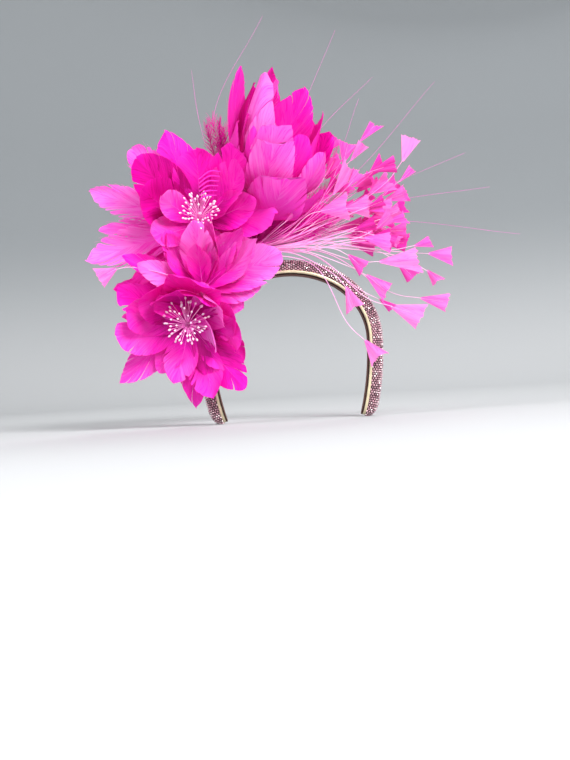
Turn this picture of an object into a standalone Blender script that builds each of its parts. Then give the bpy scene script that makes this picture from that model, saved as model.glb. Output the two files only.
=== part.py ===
"""A feather fascinator on a padded, rhinestone covered headband.

The headband is an arch in the XZ plane. The origin is on its inner face at the crown, where it
sits on the head. +Z is up, -Y is the wearer's front and +X is the wearer's left. Three feather
flowers, a fan of leaf feathers, a hackle fringe, a spray of arrow feathers and a few fine strands
are all carried by a felt base on the band's outer face, on the wearer's right.
"""

import math
from collections import namedtuple

import bmesh
import bpy
from mathutils import Matrix, Vector

MM = 0.001
GOLDEN_ANGLE = math.radians(137.5)

# The arch of the band, along its inner face
ARCH_HALF_WIDTH = 77.2 * MM
ARCH_CROWN_HEIGHT = 66 * MM
ARCH_LEG_FALL = 150.4 * MM
ARCH_END_ANGLE = 120.4
BAND_STATIONS = 29

# The layers of the band, measured outwards from the inner face
LAYER_GAP = 0.3 * MM
LINING_THICKNESS = 1.2 * MM
STRIP_TOP = 5.0 * MM
PADDING_TOP = 14.2 * MM
CROWN_HALF_BREADTH = 14 * MM
END_HALF_BREADTH = 12 * MM
STRIP_INSET = 0.6 * MM
LINING_INSET = 2.0 * MM
END_ROUNDING = 15 * MM
END_BREADTH_SHARE = 0.34
END_HEIGHT_SHARE = 0.22
DOME_STEPS = 8

# The felt base that carries the feathers
FELT_THICKNESS = 2.5 * MM
FELT_ANGLES = (-88, -2)
FELT_HALF_BREADTH = 12.5 * MM
FELT_STATIONS = 14
FELT_GAP = 0.8 * MM
SEAT_GAP = 0.7 * MM

# Feather work
FEATHER_THICKNESS = 1.0 * MM
NARROWEST_TIP = 1.6 * MM
TIP_CROWDING = 1.4
CALYX_TOP_RADIUS = 7.5 * MM
CALYX_FOOT_RADIUS = 3.2 * MM
CALYX_TOP = -1.2 * MM
CALYX_FOOT = -18 * MM
RING_STEP = 3.4 * MM
RING_START = 4.0 * MM
PETAL_ROOT_RADIUS = 3.4 * MM
STALK_RADIUS = 2.6 * MM
BUTTON_RADIUS = 4.4 * MM
BUTTON_THICKNESS = 2.0 * MM
FILAMENTS = 14
FILAMENT_RADIUS = 0.35 * MM
PIP_RADIUS = 1.15 * MM
ARROW_STEM_RADIUS = 0.45 * MM
STRAND_RADIUS = 0.4 * MM
ROOT_RADIUS = 4.5 * MM

# One petal or leaf feather. Angles are in degrees and sizes in millimetres. The azimuth runs round
# the flower's axis from the wearer's left, the opening is the angle from the axis, belly and curl
# are the outward bow of the middle and of the tip as shares of the length, cup is how far the edges
# rise towards the axis, roll turns the vane about its own quill and skew moves the tip sideways.
Petal = namedtuple(
    "Petal",
    "azimuth opening length width belly curl cup roll skew ring point",
    defaults=(0.1, 0.0, 0.25, 0, 0.0, 0, 0.6),
)

LOW_FLOWER_HEART = Vector((-97.3, -42, -45.7)) * MM
LOW_FLOWER_AXIS = Vector((-0.18, -0.95, -0.20))
LOW_STAMEN_LEAN = Vector((-0.10, -0.98, 0.03))
LOW_FLOWER = (
    Petal(186, 76, 71, 48, 0.06, -0.04, 0.20, 8, 0.0, 1, 0.0),
    Petal(164, 74, 60, 42, 0.10, -0.08, 0.25, 0, 0.0, 0, 0.0),
    Petal(214, 82, 91, 34, 0.02, 0.02, 0.20, -10, 0.3, 2, 0.9),
    Petal(234, 80, 55, 30, 0.05, -0.02, 0.30, 10, 0.0, 1, 0.4),
    Petal(255, 74, 57, 34, 0.08, -0.02, 0.30, 0, 0.0, 0, 0.4),
    Petal(271, 84, 81, 30, 0.04, -0.02, 0.30, -8, 0.0, 2, 0.8),
    Petal(288, 76, 74, 38, 0.06, -0.04, 0.25, 5, 0.0, 1, 0.4),
    Petal(309, 78, 81, 46, 0.05, 0.00, 0.20, 8, 0.1, 0, 0.7),
    Petal(325, 80, 62, 46, 0.08, 0.02, 0.25, -8, 0.0, 1, 0.3),
    Petal(343, 76, 56, 44, 0.10, -0.06, 0.25, 6, 0.0, 0, 0.2),
    Petal(6, 70, 52, 42, 0.14, -0.08, 0.25, 0, 0.0, 1, 0.2),
    Petal(31, 58, 50, 42, 0.16, -0.10, 0.30, 0, 0.0, 0, 0.1),
    Petal(63, 47, 50, 46, 0.20, -0.12, 0.25, 0, 0.0, 1, 0.0),
    Petal(100, 44, 54, 54, 0.20, -0.12, 0.22, 0, 0.0, 0, 0.0),
    Petal(135, 58, 57, 46, 0.16, -0.10, 0.25, 0, 0.0, 1, 0.0),
    Petal(151, 80, 76, 36, 0.02, -0.04, 0.20, 0, 0.0, 1, 0.1),
)

MIDDLE_FLOWER_HEART = Vector((-81.8, -45, 52.1)) * MM
MIDDLE_FLOWER_AXIS = Vector((-0.11, -0.98, 0.13))
MIDDLE_STAMEN_LEAN = Vector((0.18, -0.84, 0.49))
MIDDLE_FLOWER = (
    Petal(107, 84, 96, 44, 0.02, -0.02, 0.20, 0, 0.0, 1, 0.6),
    Petal(87, 74, 70, 50, 0.10, -0.06, 0.25, 0, 0.0, 0, 0.2),
    Petal(128, 90, 104, 42, 0.02, -0.02, 0.15, 0, 0.0, 2, 0.1),
    Petal(150, 54, 66, 60, 0.20, -0.12, 0.20, 0, 0.0, 1, 0.0),
    Petal(144, 40, 48, 28, 0.20, 0.02, 0.20, 0, 0.0, 0, 0.2),
    Petal(196, 58, 50, 34, 0.18, -0.06, 0.25, 0, 0.0, 0, 0.4),
    Petal(55, 65, 86, 46, 0.06, -0.02, 0.25, 12, 0.0, 1, 0.3),
    Petal(18, 68, 66, 44, 0.08, -0.02, 0.25, 8, 0.0, 0, 0.8),
    Petal(-1, 74, 78, 38, 0.04, -0.02, 0.25, 10, 0.0, 1, 0.2),
    Petal(-55, 88, 36, 22, 0.12, 0.04, 0.40, 0, 0.0, 0, 0.3),
    Petal(217, 90, 88, 26, 0.02, 0.00, 0.20, 0, 0.0, 2, 0.6),
    Petal(255, 96, 46, 30, 0.04, -0.02, 0.25, 0, 0.0, 2, 0.6),
    Petal(283, 99, 44, 30, 0.04, -0.02, 0.25, 0, 0.0, 2, 0.6),
    Petal(158, 92, 118, 34, 0.02, 0.00, 0.15, -12, 0.0, 2, 0.3),
    Petal(150, 96, 106, 18, 0.02, 0.02, 0.30, 20, 0.0, 2, 0.8),
    Petal(176, 94, 104, 22, 0.02, 0.02, 0.10, 0, 0.0, 2, 0.4),
    Petal(192, 90, 116, 42, 0.02, 0.00, 0.15, 8, 0.0, 2, 0.4),
)

TOP_FLOWER_HEART = Vector((-17.2, -9, 67.4)) * MM
TOP_FLOWER_AXIS = Vector((0.32, -0.3, 0.89))
TOP_FLOWER = (
    Petal(184, 22, 145, 34, 0.15, 0.00, 0.30, -48, 0.0, 1, 0.7),
    Petal(214, 16, 142, 56, 0.12, -0.02, 0.30, 0, 0.1, 0, 0.5),
    Petal(118, 23, 145, 40, 0.08, 0.00, 0.30, 0, 0.0, 0, 0.7),
    Petal(160, 10, 131, 28, 0.10, -0.02, 0.30, 0, 0.0, 0, 0.7),
    Petal(236, 22, 121, 42, 0.13, -0.04, 0.35, 0, 0.2, 0, 0.6),
    Petal(90, 6, 131, 46, 0.08, 0.00, 0.15, 0, -0.25, 1, 0.3),
    Petal(256, 27, 104, 42, 0.14, -0.06, 0.25, 0, 0.1, 0, -0.7),
    Petal(262, 30, 95, 46, 0.16, -0.06, 0.25, 0, 0.4, 1, -0.6),
    Petal(280, 39, 85, 52, 0.20, -0.05, 0.25, 0, 0.4, 2, -0.6),
    Petal(20, 14, 113, 36, 0.12, 0.00, 0.30, -35, 0.0, 0, 0.6),
    Petal(16, 21, 108, 46, 0.12, 0.02, 0.25, 20, 0.0, 2, 0.6),
    Petal(320, 30, 94, 40, 0.14, 0.00, 0.25, 0, 0.0, 1, 0.6),
    Petal(326, 46, 74, 32, 0.16, 0.00, 0.25, 0, 0.0, 2, 0.6),
    Petal(205, 33, 100, 40, 0.14, -0.04, 0.30, 0, 0.0, 1, 0.5),
    Petal(225, 38, 80, 38, 0.16, -0.04, 0.30, 0, 0.0, 2, 0.5),
    Petal(95, 20, 122, 48, 0.12, 0.02, 0.20, 0, 0.0, 1, 0.5),
    Petal(142, 22, 124, 42, 0.12, 0.02, 0.25, 0, 0.0, 2, 0.6),
    Petal(60, 32, 104, 46, 0.12, 0.04, 0.20, 0, 0.0, 2, 0.5),
)

LEAF_FAN_HEART = Vector((-82.4, -44, -11.7)) * MM
LEAF_FAN_AXIS = Vector((-0.09, -0.99, 0.11))
LEAF_FAN = (
    Petal(18, 78, 84, 46, 0.0, 0.0, 0.12, -10, 0.0, 0, 0.4),
    Petal(36, 66, 70, 38, 0.04, 0.0, 0.20, 8, 0.0, 0, 0.5),
    Petal(89, 54, 70, 36, 0.02, 0.0, 0.25, 0, 0.0, 1, 0.5),
    Petal(88, 44, 50, 24, 0.08, 0.0, 0.40, 0, 0.0, 0, 0.5),
    Petal(69, 52, 50, 22, 0.08, 0.0, 0.40, 0, 0.0, 1, 0.5),
    Petal(159, 64, 66, 26, 0.04, 0.0, 0.20, 0, -0.1, 0, 0.5),
    Petal(154, 80, 82, 24, 0.0, 0.0, 0.20, 10, 0.0, 0, 0.6),
    Petal(173, 96, 90, 26, 0.0, 0.0, 0.20, -10, 0.0, 2, 0.6),
    Petal(2, 76, 60, 42, 0.02, 0.0, 0.15, -8, 0.1, 1, 0.3),
)

HACKLE_HEART = Vector((-33.8, 24, 38.8)) * MM
HACKLE_AXIS = Vector((0.18, 0.5, 0.84))
HACKLES = (
    Petal(228, 30, 114, 14, 0.06, 0.04, 0.1, 0, 0.0, 0, 0.9),
    Petal(214, 38, 108, 12, 0.06, 0.06, 0.1, 0, 0.0, 1, 0.9),
    Petal(240, 22, 112, 12, 0.06, 0.04, 0.1, 0, 0.0, 0, 0.9),
    Petal(-24, 37, 126, 16, 0.06, 0.04, 0.1, 0, 0.0, 0, 0.9),
    Petal(-20, 46, 118, 16, 0.04, 0.04, 0.1, 0, 0.0, 1, 0.9),
    Petal(-14, 55, 112, 14, 0.06, 0.04, 0.1, 0, 0.0, 0, 0.9),
    Petal(-10, 64, 104, 16, 0.06, 0.04, 0.1, 0, 0.0, 1, 0.9),
    Petal(-8, 74, 96, 16, 0.06, 0.04, 0.1, 0, 0.0, 0, 0.9),
    Petal(186, 48, 92, 14, 0.06, 0.06, 0.1, 0, 0.0, 1, 0.9),
    Petal(30, 50, 92, 16, 0.06, 0.06, 0.1, 0, 0.0, 1, 0.9),
)

# One arrow feather: where its trimmed end starts, how far its bare stem bows to the left of its
# way, the angle above +X at which the trimmed end points, the length and breadth of that end and
# how far it is turned about the stem. All in millimetres and degrees.
Arrow = namedtuple("Arrow", "x y z bow heading length breadth turn")
SPRAY_ROOT = Vector((-32.0, -23, 25.3)) * MM
ARROWS = (
    Arrow(122, -12, 107, -14, 67, 26, 21, 10),
    Arrow(83, 4, 132, -21, 45, 26, 16, -20),
    Arrow(64, 8, 112, -17, 73, 23, 22, 20),
    Arrow(71, -14, 110, -16, 49, 22, 14, 30),
    Arrow(46, 26, 125, -22, 51, 22, 18, 10),
    Arrow(51, -24, 76, -9, 55, 37, 20, -10),
    Arrow(120, 2, 89, -10, 42, 19, 10, 20),
    Arrow(77, 10, 82, -10, 39, 23, 19, 10),
    Arrow(89, -10, 77, -8, 29, 27, 24, 0),
    Arrow(106, 6, 72, -7, 11, 23, 18, 20),
    Arrow(63, -26, 60, -5, 3, 24, 24, 0),
    Arrow(38, -36, 58, -5, 7, 29, 29, 0),
    Arrow(85, -16, 60, -4, -9, 26, 26, 0),
    Arrow(104, 4, 39, 1, 0, 22, 19, 20),
    Arrow(130, -8, 22, 5, 11, 18, 13, 10),
    Arrow(145, 2, 14, 8, -9, 25, 20, 0),
    Arrow(93, -30, 6, 8, -1, 42, 27, 0),
    Arrow(113, 8, 8, 8, -48, 25, 19, 20),
    Arrow(140, -16, -5, 11, -49, 18, 15, 20),
    Arrow(135, 6, -30, 17, -12, 29, 20, 0),
    Arrow(102, -22, -38, 18, -22, 34, 28, 0),
    Arrow(79, -28, -7, 10, -43, 29, 20, 10),
    Arrow(91, -21, -31, 17, -38, 17, 12, 30),
    Arrow(62, -34, 13, 5, -45, 22, 18, 20),
    Arrow(58, -30, -18, 12, -73, 25, 21, 15),
    Arrow(74, -28, -71, 26, -56, 25, 22, 10),
    Arrow(79, -36, 29, 2, -13, 27, 23, -20),
    Arrow(2, -56, 47, 0, 37, 19, 12, 60),
)

# One fine strand, by a point half way along it and by its free end, in millimetres.
Strand = namedtuple("Strand", "mid_x mid_y mid_z end_x end_y end_z")
STRAND_ROOT = Vector((-48.5, 30, 32.1)) * MM
STRANDS = (
    Strand(-67, 44, 166, -9, 34, 271),
    Strand(-79, 50, 159, -87, 60, 226),
    Strand(12, 66, 151, 66, 60, 259),
    Strand(38, 60, 149, 102, 56, 207),
    Strand(51, 74, 115, 88, 80, 190),
    Strand(68, 62, 100, 165, 46, 196),
    Strand(89, 66, 86, 195, 60, 123),
    Strand(98, 54, 73, 215, 40, 83),
    Strand(96, 46, 55, 239, 16, 30),
)


def clear_scene():
    for obj in list(bpy.data.objects):
        bpy.data.objects.remove(obj, do_unlink=True)


def new_collection(name, hidden=False):
    collection = bpy.data.collections.new(name)
    bpy.context.scene.collection.children.link(collection)
    collection.hide_render = hidden
    return collection


def material(name, colour, roughness, metallic=0.0):
    made = bpy.data.materials.new(name)
    made.use_nodes = True
    shader = made.node_tree.nodes["Principled BSDF"]
    shader.inputs["Base Color"].default_value = (*colour, 1)
    shader.inputs["Roughness"].default_value = roughness
    shader.inputs["Metallic"].default_value = metallic
    return made


def mesh_object(name, bm, collection, finish=None):
    mesh = bpy.data.meshes.new(name)
    bmesh.ops.recalc_face_normals(bm, faces=bm.faces[:])
    bm.to_mesh(mesh)
    bm.free()
    obj = bpy.data.objects.new(name, mesh)
    collection.objects.link(obj)
    if finish:
        mesh.materials.append(finish)
    return obj


def loft(name, sections, collection, finish):
    """A closed solid through sections with the same number of corners."""
    bm = bmesh.new()
    rings = [[bm.verts.new(point) for point in section] for section in sections]
    count = len(rings[0])
    for lower, upper in zip(rings, rings[1:]):
        for i in range(count):
            j = (i + 1) % count
            bm.faces.new((lower[i], lower[j], upper[j], upper[i]))
    bm.faces.new(rings[0])
    bm.faces.new(rings[-1])
    obj = mesh_object(name, bm, collection, finish)
    obj.data.shade_smooth()
    obj.data.set_sharp_from_angle(angle=math.radians(40))
    return obj


def arch_station(angle):
    """(point on the inner face, outward direction) of the band at an angle from its crown."""
    turn = math.radians(angle)
    fall = ARCH_CROWN_HEIGHT if abs(angle) <= 90 else ARCH_LEG_FALL
    point = Vector(
        (
            ARCH_HALF_WIDTH * math.sin(turn),
            0,
            fall * math.cos(turn) - ARCH_CROWN_HEIGHT,
        )
    )
    outward = Vector((fall * math.sin(turn), 0, ARCH_HALF_WIDTH * math.cos(turn)))
    return point, outward.normalized()


def end_share(angle):
    """How far a station is from the band's end, from 0 at the end to 1 where the rounding starts."""
    point, _ = arch_station(angle)
    end, _ = arch_station(math.copysign(ARCH_END_ANGLE, angle))
    return min(1.0, (point - end).length / END_ROUNDING)


def rounding(angle, end_value):
    """A size's share at this station, falling in a quarter ellipse to end_value at the band's end."""
    away = 1 - end_share(angle)
    return end_value + (1 - end_value) * math.sqrt(max(0.0, 1 - away * away))


def half_breadth(angle):
    along = min(1.0, abs(angle) / ARCH_END_ANGLE)
    plain = CROWN_HALF_BREADTH + (END_HALF_BREADTH - CROWN_HALF_BREADTH) * along
    return plain * rounding(angle, END_BREADTH_SHARE)


def band_angles():
    """Stations along the arch, closer together at the rounded ends."""
    for i in range(BAND_STATIONS):
        across = 2 * i / (BAND_STATIONS - 1) - 1
        closer = math.sin(across * math.pi / 2)
        yield ARCH_END_ANGLE * (0.72 * across + 0.28 * closer)


def at(angle, breadth, height):
    """The point of the band at a station, across its breadth and outwards from its inner face."""
    point, outward = arch_station(angle)
    return point + outward * height + Vector((0, breadth, 0))


def dome(angle, inset=0.0, lift=0.0, share=1.0):
    """Points over the padding's rounded back, from the front edge to the rear edge."""
    reach = half_breadth(angle) - inset
    foot = STRIP_TOP + LAYER_GAP
    rise = (PADDING_TOP - foot) * rounding(angle, END_HEIGHT_SHARE)
    for i in range(DOME_STEPS + 1):
        turn = math.pi * (0.5 + (i / DOME_STEPS - 0.5) * share)
        yield at(
            angle,
            -(reach + lift) * math.cos(turn),
            foot + (rise + lift) * math.sin(turn) ** 0.8,
        )


def build_band(collection, stones, strip, lining):
    pads, strips, linings = [], [], []
    for angle in band_angles():
        reach = half_breadth(angle)
        pads.append(list(dome(angle)))
        low, high = LINING_THICKNESS + LAYER_GAP, STRIP_TOP
        edge = reach + STRIP_INSET
        strips.append(
            [
                at(angle, side * edge, height)
                for side, height in ((-1, low), (-1, high), (1, high), (1, low))
            ]
        )
        edge = reach - LINING_INSET * rounding(angle, 0.3)
        linings.append(
            [
                at(angle, side * edge, height)
                for side, height in (
                    (-1, 0),
                    (-1, LINING_THICKNESS),
                    (1, LINING_THICKNESS),
                    (1, 0),
                )
            ]
        )
    loft("band_padding", pads, collection, stones)
    loft("band_strip", strips, collection, strip)
    loft("band_lining", linings, collection, lining)


def build_felt_base(collection, finish):
    sections = []
    first, last = FELT_ANGLES
    share = FELT_HALF_BREADTH / CROWN_HALF_BREADTH
    for i in range(FELT_STATIONS):
        across = i / (FELT_STATIONS - 1)
        angle = first + (last - first) * across
        narrow = share * (0.45 + 0.55 * math.sin(math.pi * across) ** 0.5)
        inner = list(dome(angle, lift=FELT_GAP, share=narrow))
        outer = list(dome(angle, lift=FELT_GAP + FELT_THICKNESS, share=narrow))
        sections.append(inner + outer[::-1])
    return loft("felt_base", sections, collection, finish)


def axis_frame(axis):
    """The flower's axis and two directions square to it, the first towards the wearer's left."""
    along = axis.normalized()
    left = (Vector((1, 0, 0)) - along * along.x).normalized()
    return along, left, along.cross(left)


def breadth_at(t, point):
    """A petal's breadth along its length as a share of its width. It is 1 at its widest."""
    widest, foot = 0.58, 0.15
    if t < widest:
        return foot + (1 - foot) * math.sin(math.pi / 2 * t / widest)
    x = (t - widest) / (1 - widest)
    return (1 - x ** (2 - 0.5 * point)) ** (0.5 + 0.45 * point)


def ease(x):
    x = min(1.0, max(0.0, x))
    return x * x * (3 - 2 * x)


def petal_point(heart, axis, petal, t, u):
    """A point on the petal's vane: t runs from root to tip and u from edge to edge, -1 to 1."""
    along, left, up = axis_frame(axis)
    turn, opening, roll = (
        math.radians(a) for a in (petal.azimuth, petal.opening, petal.roll)
    )
    radial = left * math.cos(turn) + up * math.sin(turn)
    chord = along * math.cos(opening) + radial * math.sin(opening)
    side = Matrix.Rotation(roll, 3, chord) @ along.cross(radial)
    back = side.cross(chord)
    length, half = petal.length * MM, petal.width * MM / 2
    root = (
        heart
        + radial * PETAL_ROOT_RADIUS
        - along * (RING_START + RING_STEP * petal.ring)
    )
    bow = petal.belly * 4 * t * (1 - t) + petal.curl * t**3
    breadth = max(half * breadth_at(t, petal.point), NARROWEST_TIP / 2)
    sideways = u * breadth + petal.skew * half * ease((t - 0.4) / 0.6)
    return (
        root
        + chord * (length * t)
        + back * (length * bow - petal.cup * breadth * u * u)
        + side * sideways
    )


def vane(name, surface, lengthways, crossways, collection):
    """A thin closed feather vane over surface(t, u)."""
    bm = bmesh.new()
    bmesh.ops.create_grid(bm, x_segments=crossways, y_segments=lengthways, size=1)
    for vert in bm.verts:
        from_tip = (1 - vert.co.y) / 2
        vert.co = surface(1 - from_tip**TIP_CROWDING, vert.co.x)
    obj = mesh_object(name, bm, collection)
    shell = obj.modifiers.new("thickness", "SOLIDIFY")
    shell.thickness = FEATHER_THICKNESS
    shell.offset = 0
    return obj


def smooth_path(points, count):
    """Points on one smooth curve through the given ones."""
    ends = (
        [points[0] * 2 - points[1]] + list(points) + [points[-1] * 2 - points[-2]]
    )
    spans = len(points) - 1
    made = []
    for i in range(count):
        place = spans * i / (count - 1)
        n = min(int(place), spans - 1)
        t = place - n
        a, b, c, d = ends[n : n + 4]
        made.append(
            0.5
            * (
                b * 2
                + (c - a) * t
                + (a * 2 - b * 5 + c * 4 - d) * t * t
                + (b * 3 - a - c * 3 + d) * t**3
            )
        )
    return made


def tube(name, points, radius, collection, roundness=0, end_share_of_radius=1.0):
    """A round bar along points, as a mesh."""
    data = bpy.data.curves.new(name, "CURVE")
    data.dimensions = "3D"
    data.bevel_depth = radius
    data.bevel_resolution = roundness
    data.use_fill_caps = True
    spline = data.splines.new("POLY")
    spline.points.add(len(points) - 1)
    for i, point in enumerate(points):
        spline.points[i].co = (*point, 1)
        along = i / (len(points) - 1)
        spline.points[i].radius = 1 + (end_share_of_radius - 1) * along
    curve = bpy.data.objects.new(name + "_line", data)
    bpy.context.scene.collection.objects.link(curve)
    graph = bpy.context.evaluated_depsgraph_get()
    mesh = bpy.data.meshes.new_from_object(curve.evaluated_get(graph))
    bm = bmesh.new()
    bm.from_mesh(mesh)
    bmesh.ops.remove_doubles(bm, verts=bm.verts[:], dist=1e-6)
    bmesh.ops.recalc_face_normals(bm, faces=bm.faces[:])
    bm.to_mesh(mesh)
    bm.free()
    obj = bpy.data.objects.new(name, mesh)
    obj.matrix_world = curve.matrix_world
    collection.objects.link(obj)
    bpy.data.objects.remove(curve)
    return obj


def pointing(axis):
    """The rotation that turns +Z to the axis."""
    return axis.normalized().to_track_quat("Z", "Y").to_matrix().to_4x4()


def cone(name, foot, axis, low, high, foot_radius, top_radius, sides, collection):
    """A cone frustum on an axis through foot, between two distances along it."""
    bm = bmesh.new()
    bmesh.ops.create_cone(
        bm,
        cap_ends=True,
        segments=sides,
        radius1=foot_radius,
        radius2=top_radius,
        depth=high - low,
    )
    obj = mesh_object(name, bm, collection)
    middle = foot + axis.normalized() * (low + high) / 2
    obj.matrix_world = Matrix.Translation(middle) @ pointing(axis)
    return obj


def fuse(head, pieces, finish):
    """One body: the head with every piece in the hidden collection joined to it."""
    union = head.modifiers.new("fused", "BOOLEAN")
    union.operation = "UNION"
    union.solver = "EXACT"
    union.operand_type = "COLLECTION"
    union.collection = pieces
    head.data.materials.append(finish)
    for piece in pieces.objects:
        piece.hide_render = True
        piece.display_type = "WIRE"


def felt_seat(angle, front_turn):
    """A point a layer gap above the felt base, and the direction straight out of it."""
    lift = FELT_GAP + FELT_THICKNESS + SEAT_GAP
    foot = STRIP_TOP + LAYER_GAP
    turn = math.pi / 2 - math.radians(front_turn)
    reach = half_breadth(angle) + lift
    rise = PADDING_TOP - foot + lift
    point = at(angle, -reach * math.cos(turn), foot + rise * math.sin(turn) ** 0.8)
    _, outward = arch_station(angle)
    across = Vector((0, -math.cos(turn), 0))
    return point, (outward * math.sin(turn) + across).normalized()


def stalk(name, seat, bottom, collection):
    """The wrapped stalk from a seat on the felt base up to a flower's foot."""
    point, outward = seat
    rise = (bottom - point).length
    path = smooth_path([point, point + outward * rise * 0.35, bottom], 5)
    return tube(name, path, STALK_RADIUS, collection, roundness=1)


def flower(name, heart, axis, petals, seat, collection, lengthways=4):
    pieces = new_collection(name + "_pieces", hidden=True)
    for i, petal in enumerate(petals):

        def surface(t, u, petal=petal):
            return petal_point(heart, axis, petal, t, u)

        vane(f"{name}_petal_{i:02d}", surface, lengthways, 2, pieces)
    along = axis.normalized()
    stalk(name + "_stalk", seat, heart + along * (CALYX_FOOT + 4 * MM), pieces)
    head = cone(
        name,
        heart,
        axis,
        CALYX_FOOT,
        CALYX_TOP,
        CALYX_FOOT_RADIUS,
        CALYX_TOP_RADIUS,
        12,
        collection,
    )
    return head, pieces


def stamens(name, heart, axis, lean, spread, collection):
    """A button with a burst of filaments about the lean, each ending in a round pip."""
    pieces = new_collection(name + "_pieces", hidden=True)
    along, left, up = axis_frame(lean)
    top = heart + axis.normalized() * 0.4 * MM
    for i in range(FILAMENTS):
        opening = math.radians(8 + spread * math.sqrt((i + 0.5) / FILAMENTS))
        turn = i * GOLDEN_ANGLE
        radial = left * math.cos(turn) + up * math.sin(turn)
        way = along * math.cos(opening) + radial * math.sin(opening)
        reach = (24 + 3.5 * math.sin(i * 2.4)) * MM
        start = top + radial * (BUTTON_RADIUS * 0.65 * math.sin(opening))
        end = start + way * reach
        tube(f"{name}_filament_{i:02d}", [start, end], FILAMENT_RADIUS, pieces)
        bm = bmesh.new()
        bmesh.ops.create_uvsphere(bm, u_segments=5, v_segments=3, radius=PIP_RADIUS)
        pip = mesh_object(f"{name}_pip_{i:02d}", bm, pieces)
        pip.matrix_world = Matrix.Translation(end) @ pointing(way)
    head = cone(
        name,
        heart,
        axis,
        CALYX_TOP + LAYER_GAP,
        CALYX_TOP + LAYER_GAP + BUTTON_THICKNESS,
        BUTTON_RADIUS,
        BUTTON_RADIUS * 0.8,
        12,
        collection,
    )
    return head, pieces


def arrow_surface(start, way, side, arrow):
    """The vane of an arrow feather: a wedge that widens to a notched end."""
    back = side.cross(way)
    length, half = arrow.length * MM, arrow.breadth * MM / 2

    def surface(t, u):
        notch = 0.16 * t * (1 - abs(u))
        breadth = half * (0.1 + 0.9 * t)
        return (
            start
            + way * (length * (t - notch))
            + side * (u * breadth)
            + back * (0.12 * half * u * u * t)
        )

    return surface


def build_spray(collection):
    name = "arrow_spray"
    pieces = new_collection(name + "_pieces", hidden=True)
    for i, arrow in enumerate(ARROWS):
        tip = Vector((arrow.x, arrow.y, arrow.z)) * MM
        span = tip - SPRAY_ROOT
        leftwards = Vector((-span.z, 0, span.x)).normalized()
        heading = math.radians(arrow.heading)
        way = Vector((math.cos(heading), 0, math.sin(heading)))
        bend = SPRAY_ROOT + span * 0.4 + leftwards * arrow.bow * MM
        neck = tip - (way + span.normalized()).normalized() * 0.2 * span.length
        start = SPRAY_ROOT + span.normalized() * ROOT_RADIUS
        path = smooth_path([start, bend, neck, tip], 4)
        tube(f"{name}_stem_{i:02d}", path, ARROW_STEM_RADIUS, pieces)
        side = way.cross(Vector((0, 1, 0))).normalized()
        side = Matrix.Rotation(math.radians(arrow.turn), 3, way) @ side
        surface = arrow_surface(tip - way * 1.5 * MM, way, side, arrow)
        vane(f"{name}_vane_{i:02d}", surface, 1, 2, pieces)
    stalk(name + "_stalk", felt_seat(-23, 32), SPRAY_ROOT, pieces)
    head = cone(
        name,
        SPRAY_ROOT,
        Vector((1, -0.1, 0.25)),
        -8 * MM,
        13 * MM,
        ROOT_RADIUS * 0.8,
        ROOT_RADIUS * 1.5,
        12,
        collection,
    )
    return head, pieces


def build_strands(collection):
    name = "fine_strands"
    pieces = new_collection(name + "_pieces", hidden=True)
    for i, strand in enumerate(STRANDS):
        middle = Vector((strand.mid_x, strand.mid_y, strand.mid_z)) * MM
        end = Vector((strand.end_x, strand.end_y, strand.end_z)) * MM
        path = smooth_path([STRAND_ROOT, middle, end], 6)
        tube(f"{name}_{i:02d}", path, STRAND_RADIUS, pieces)
    stalk(name + "_stalk", felt_seat(-36, -40), STRAND_ROOT, pieces)
    up = Vector((-0.1, 0.3, 1))
    head = cone(name, STRAND_ROOT, up, -5 * MM, 4 * MM, 2.8 * MM, 2.5 * MM, 8, collection)
    return head, pieces


def main():
    clear_scene()
    collection = new_collection("rhinestone_fascinator")
    stones = material("rhinestone_mesh", (0.33, 0.18, 0.22), 0.25, 0.3)
    champagne = material("champagne_strip", (0.72, 0.58, 0.42), 0.4, 0.5)
    velvet = material("brown_lining", (0.06, 0.025, 0.02), 0.9)
    felt = material("pink_felt", (0.75, 0.02, 0.35), 0.95)
    petal = material("pink_feather", (0.95, 0.03, 0.5), 0.6)
    pale = material("pale_feather", (0.95, 0.25, 0.62), 0.6)
    pip = material("stamen_pip", (0.95, 0.45, 0.68), 0.4)

    build_band(collection, stones, champagne, velvet)
    build_felt_base(collection, felt)
    low = LOW_FLOWER_HEART, LOW_FLOWER_AXIS
    middle = MIDDLE_FLOWER_HEART, MIDDLE_FLOWER_AXIS
    top = TOP_FLOWER_HEART, TOP_FLOWER_AXIS
    fan = LEAF_FAN_HEART, LEAF_FAN_AXIS
    fringe = HACKLE_HEART, HACKLE_AXIS
    made = (
        (petal, flower("flower_low", *low, LOW_FLOWER, felt_seat(-72, 35), collection)),
        (petal, flower("flower_middle", *middle, MIDDLE_FLOWER, felt_seat(-38, 15), collection)),
        (petal, flower("flower_top", *top, TOP_FLOWER, felt_seat(-10, 0), collection)),
        (petal, flower("leaf_fan", *fan, LEAF_FAN, felt_seat(-56, 35), collection)),
        (petal, flower("hackle_fringe", *fringe, HACKLES, felt_seat(-22, -35), collection, 3)),
        (pip, stamens("stamens_low", *low, LOW_STAMEN_LEAN, 44, collection)),
        (pip, stamens("stamens_middle", *middle, MIDDLE_STAMEN_LEAN, 34, collection)),
        (pale, build_spray(collection)),
        (pale, build_strands(collection)),
    )
    for finish, (head, pieces) in made:
        fuse(head, pieces, finish)


if __name__ == "__main__":
    main()
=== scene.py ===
"""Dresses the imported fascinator: a padded headband set with rhinestones, with dyed feather flowers,
leaf feathers, hackles, a spray of arrow feathers and a few fine strands, on a plain studio stage.

Lengths are in metres unless a name or a comment says millimetres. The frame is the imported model's:
+Z is up, -Y is the wearer's front and +X is the wearer's left.
"""

import math
from collections import namedtuple

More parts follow.
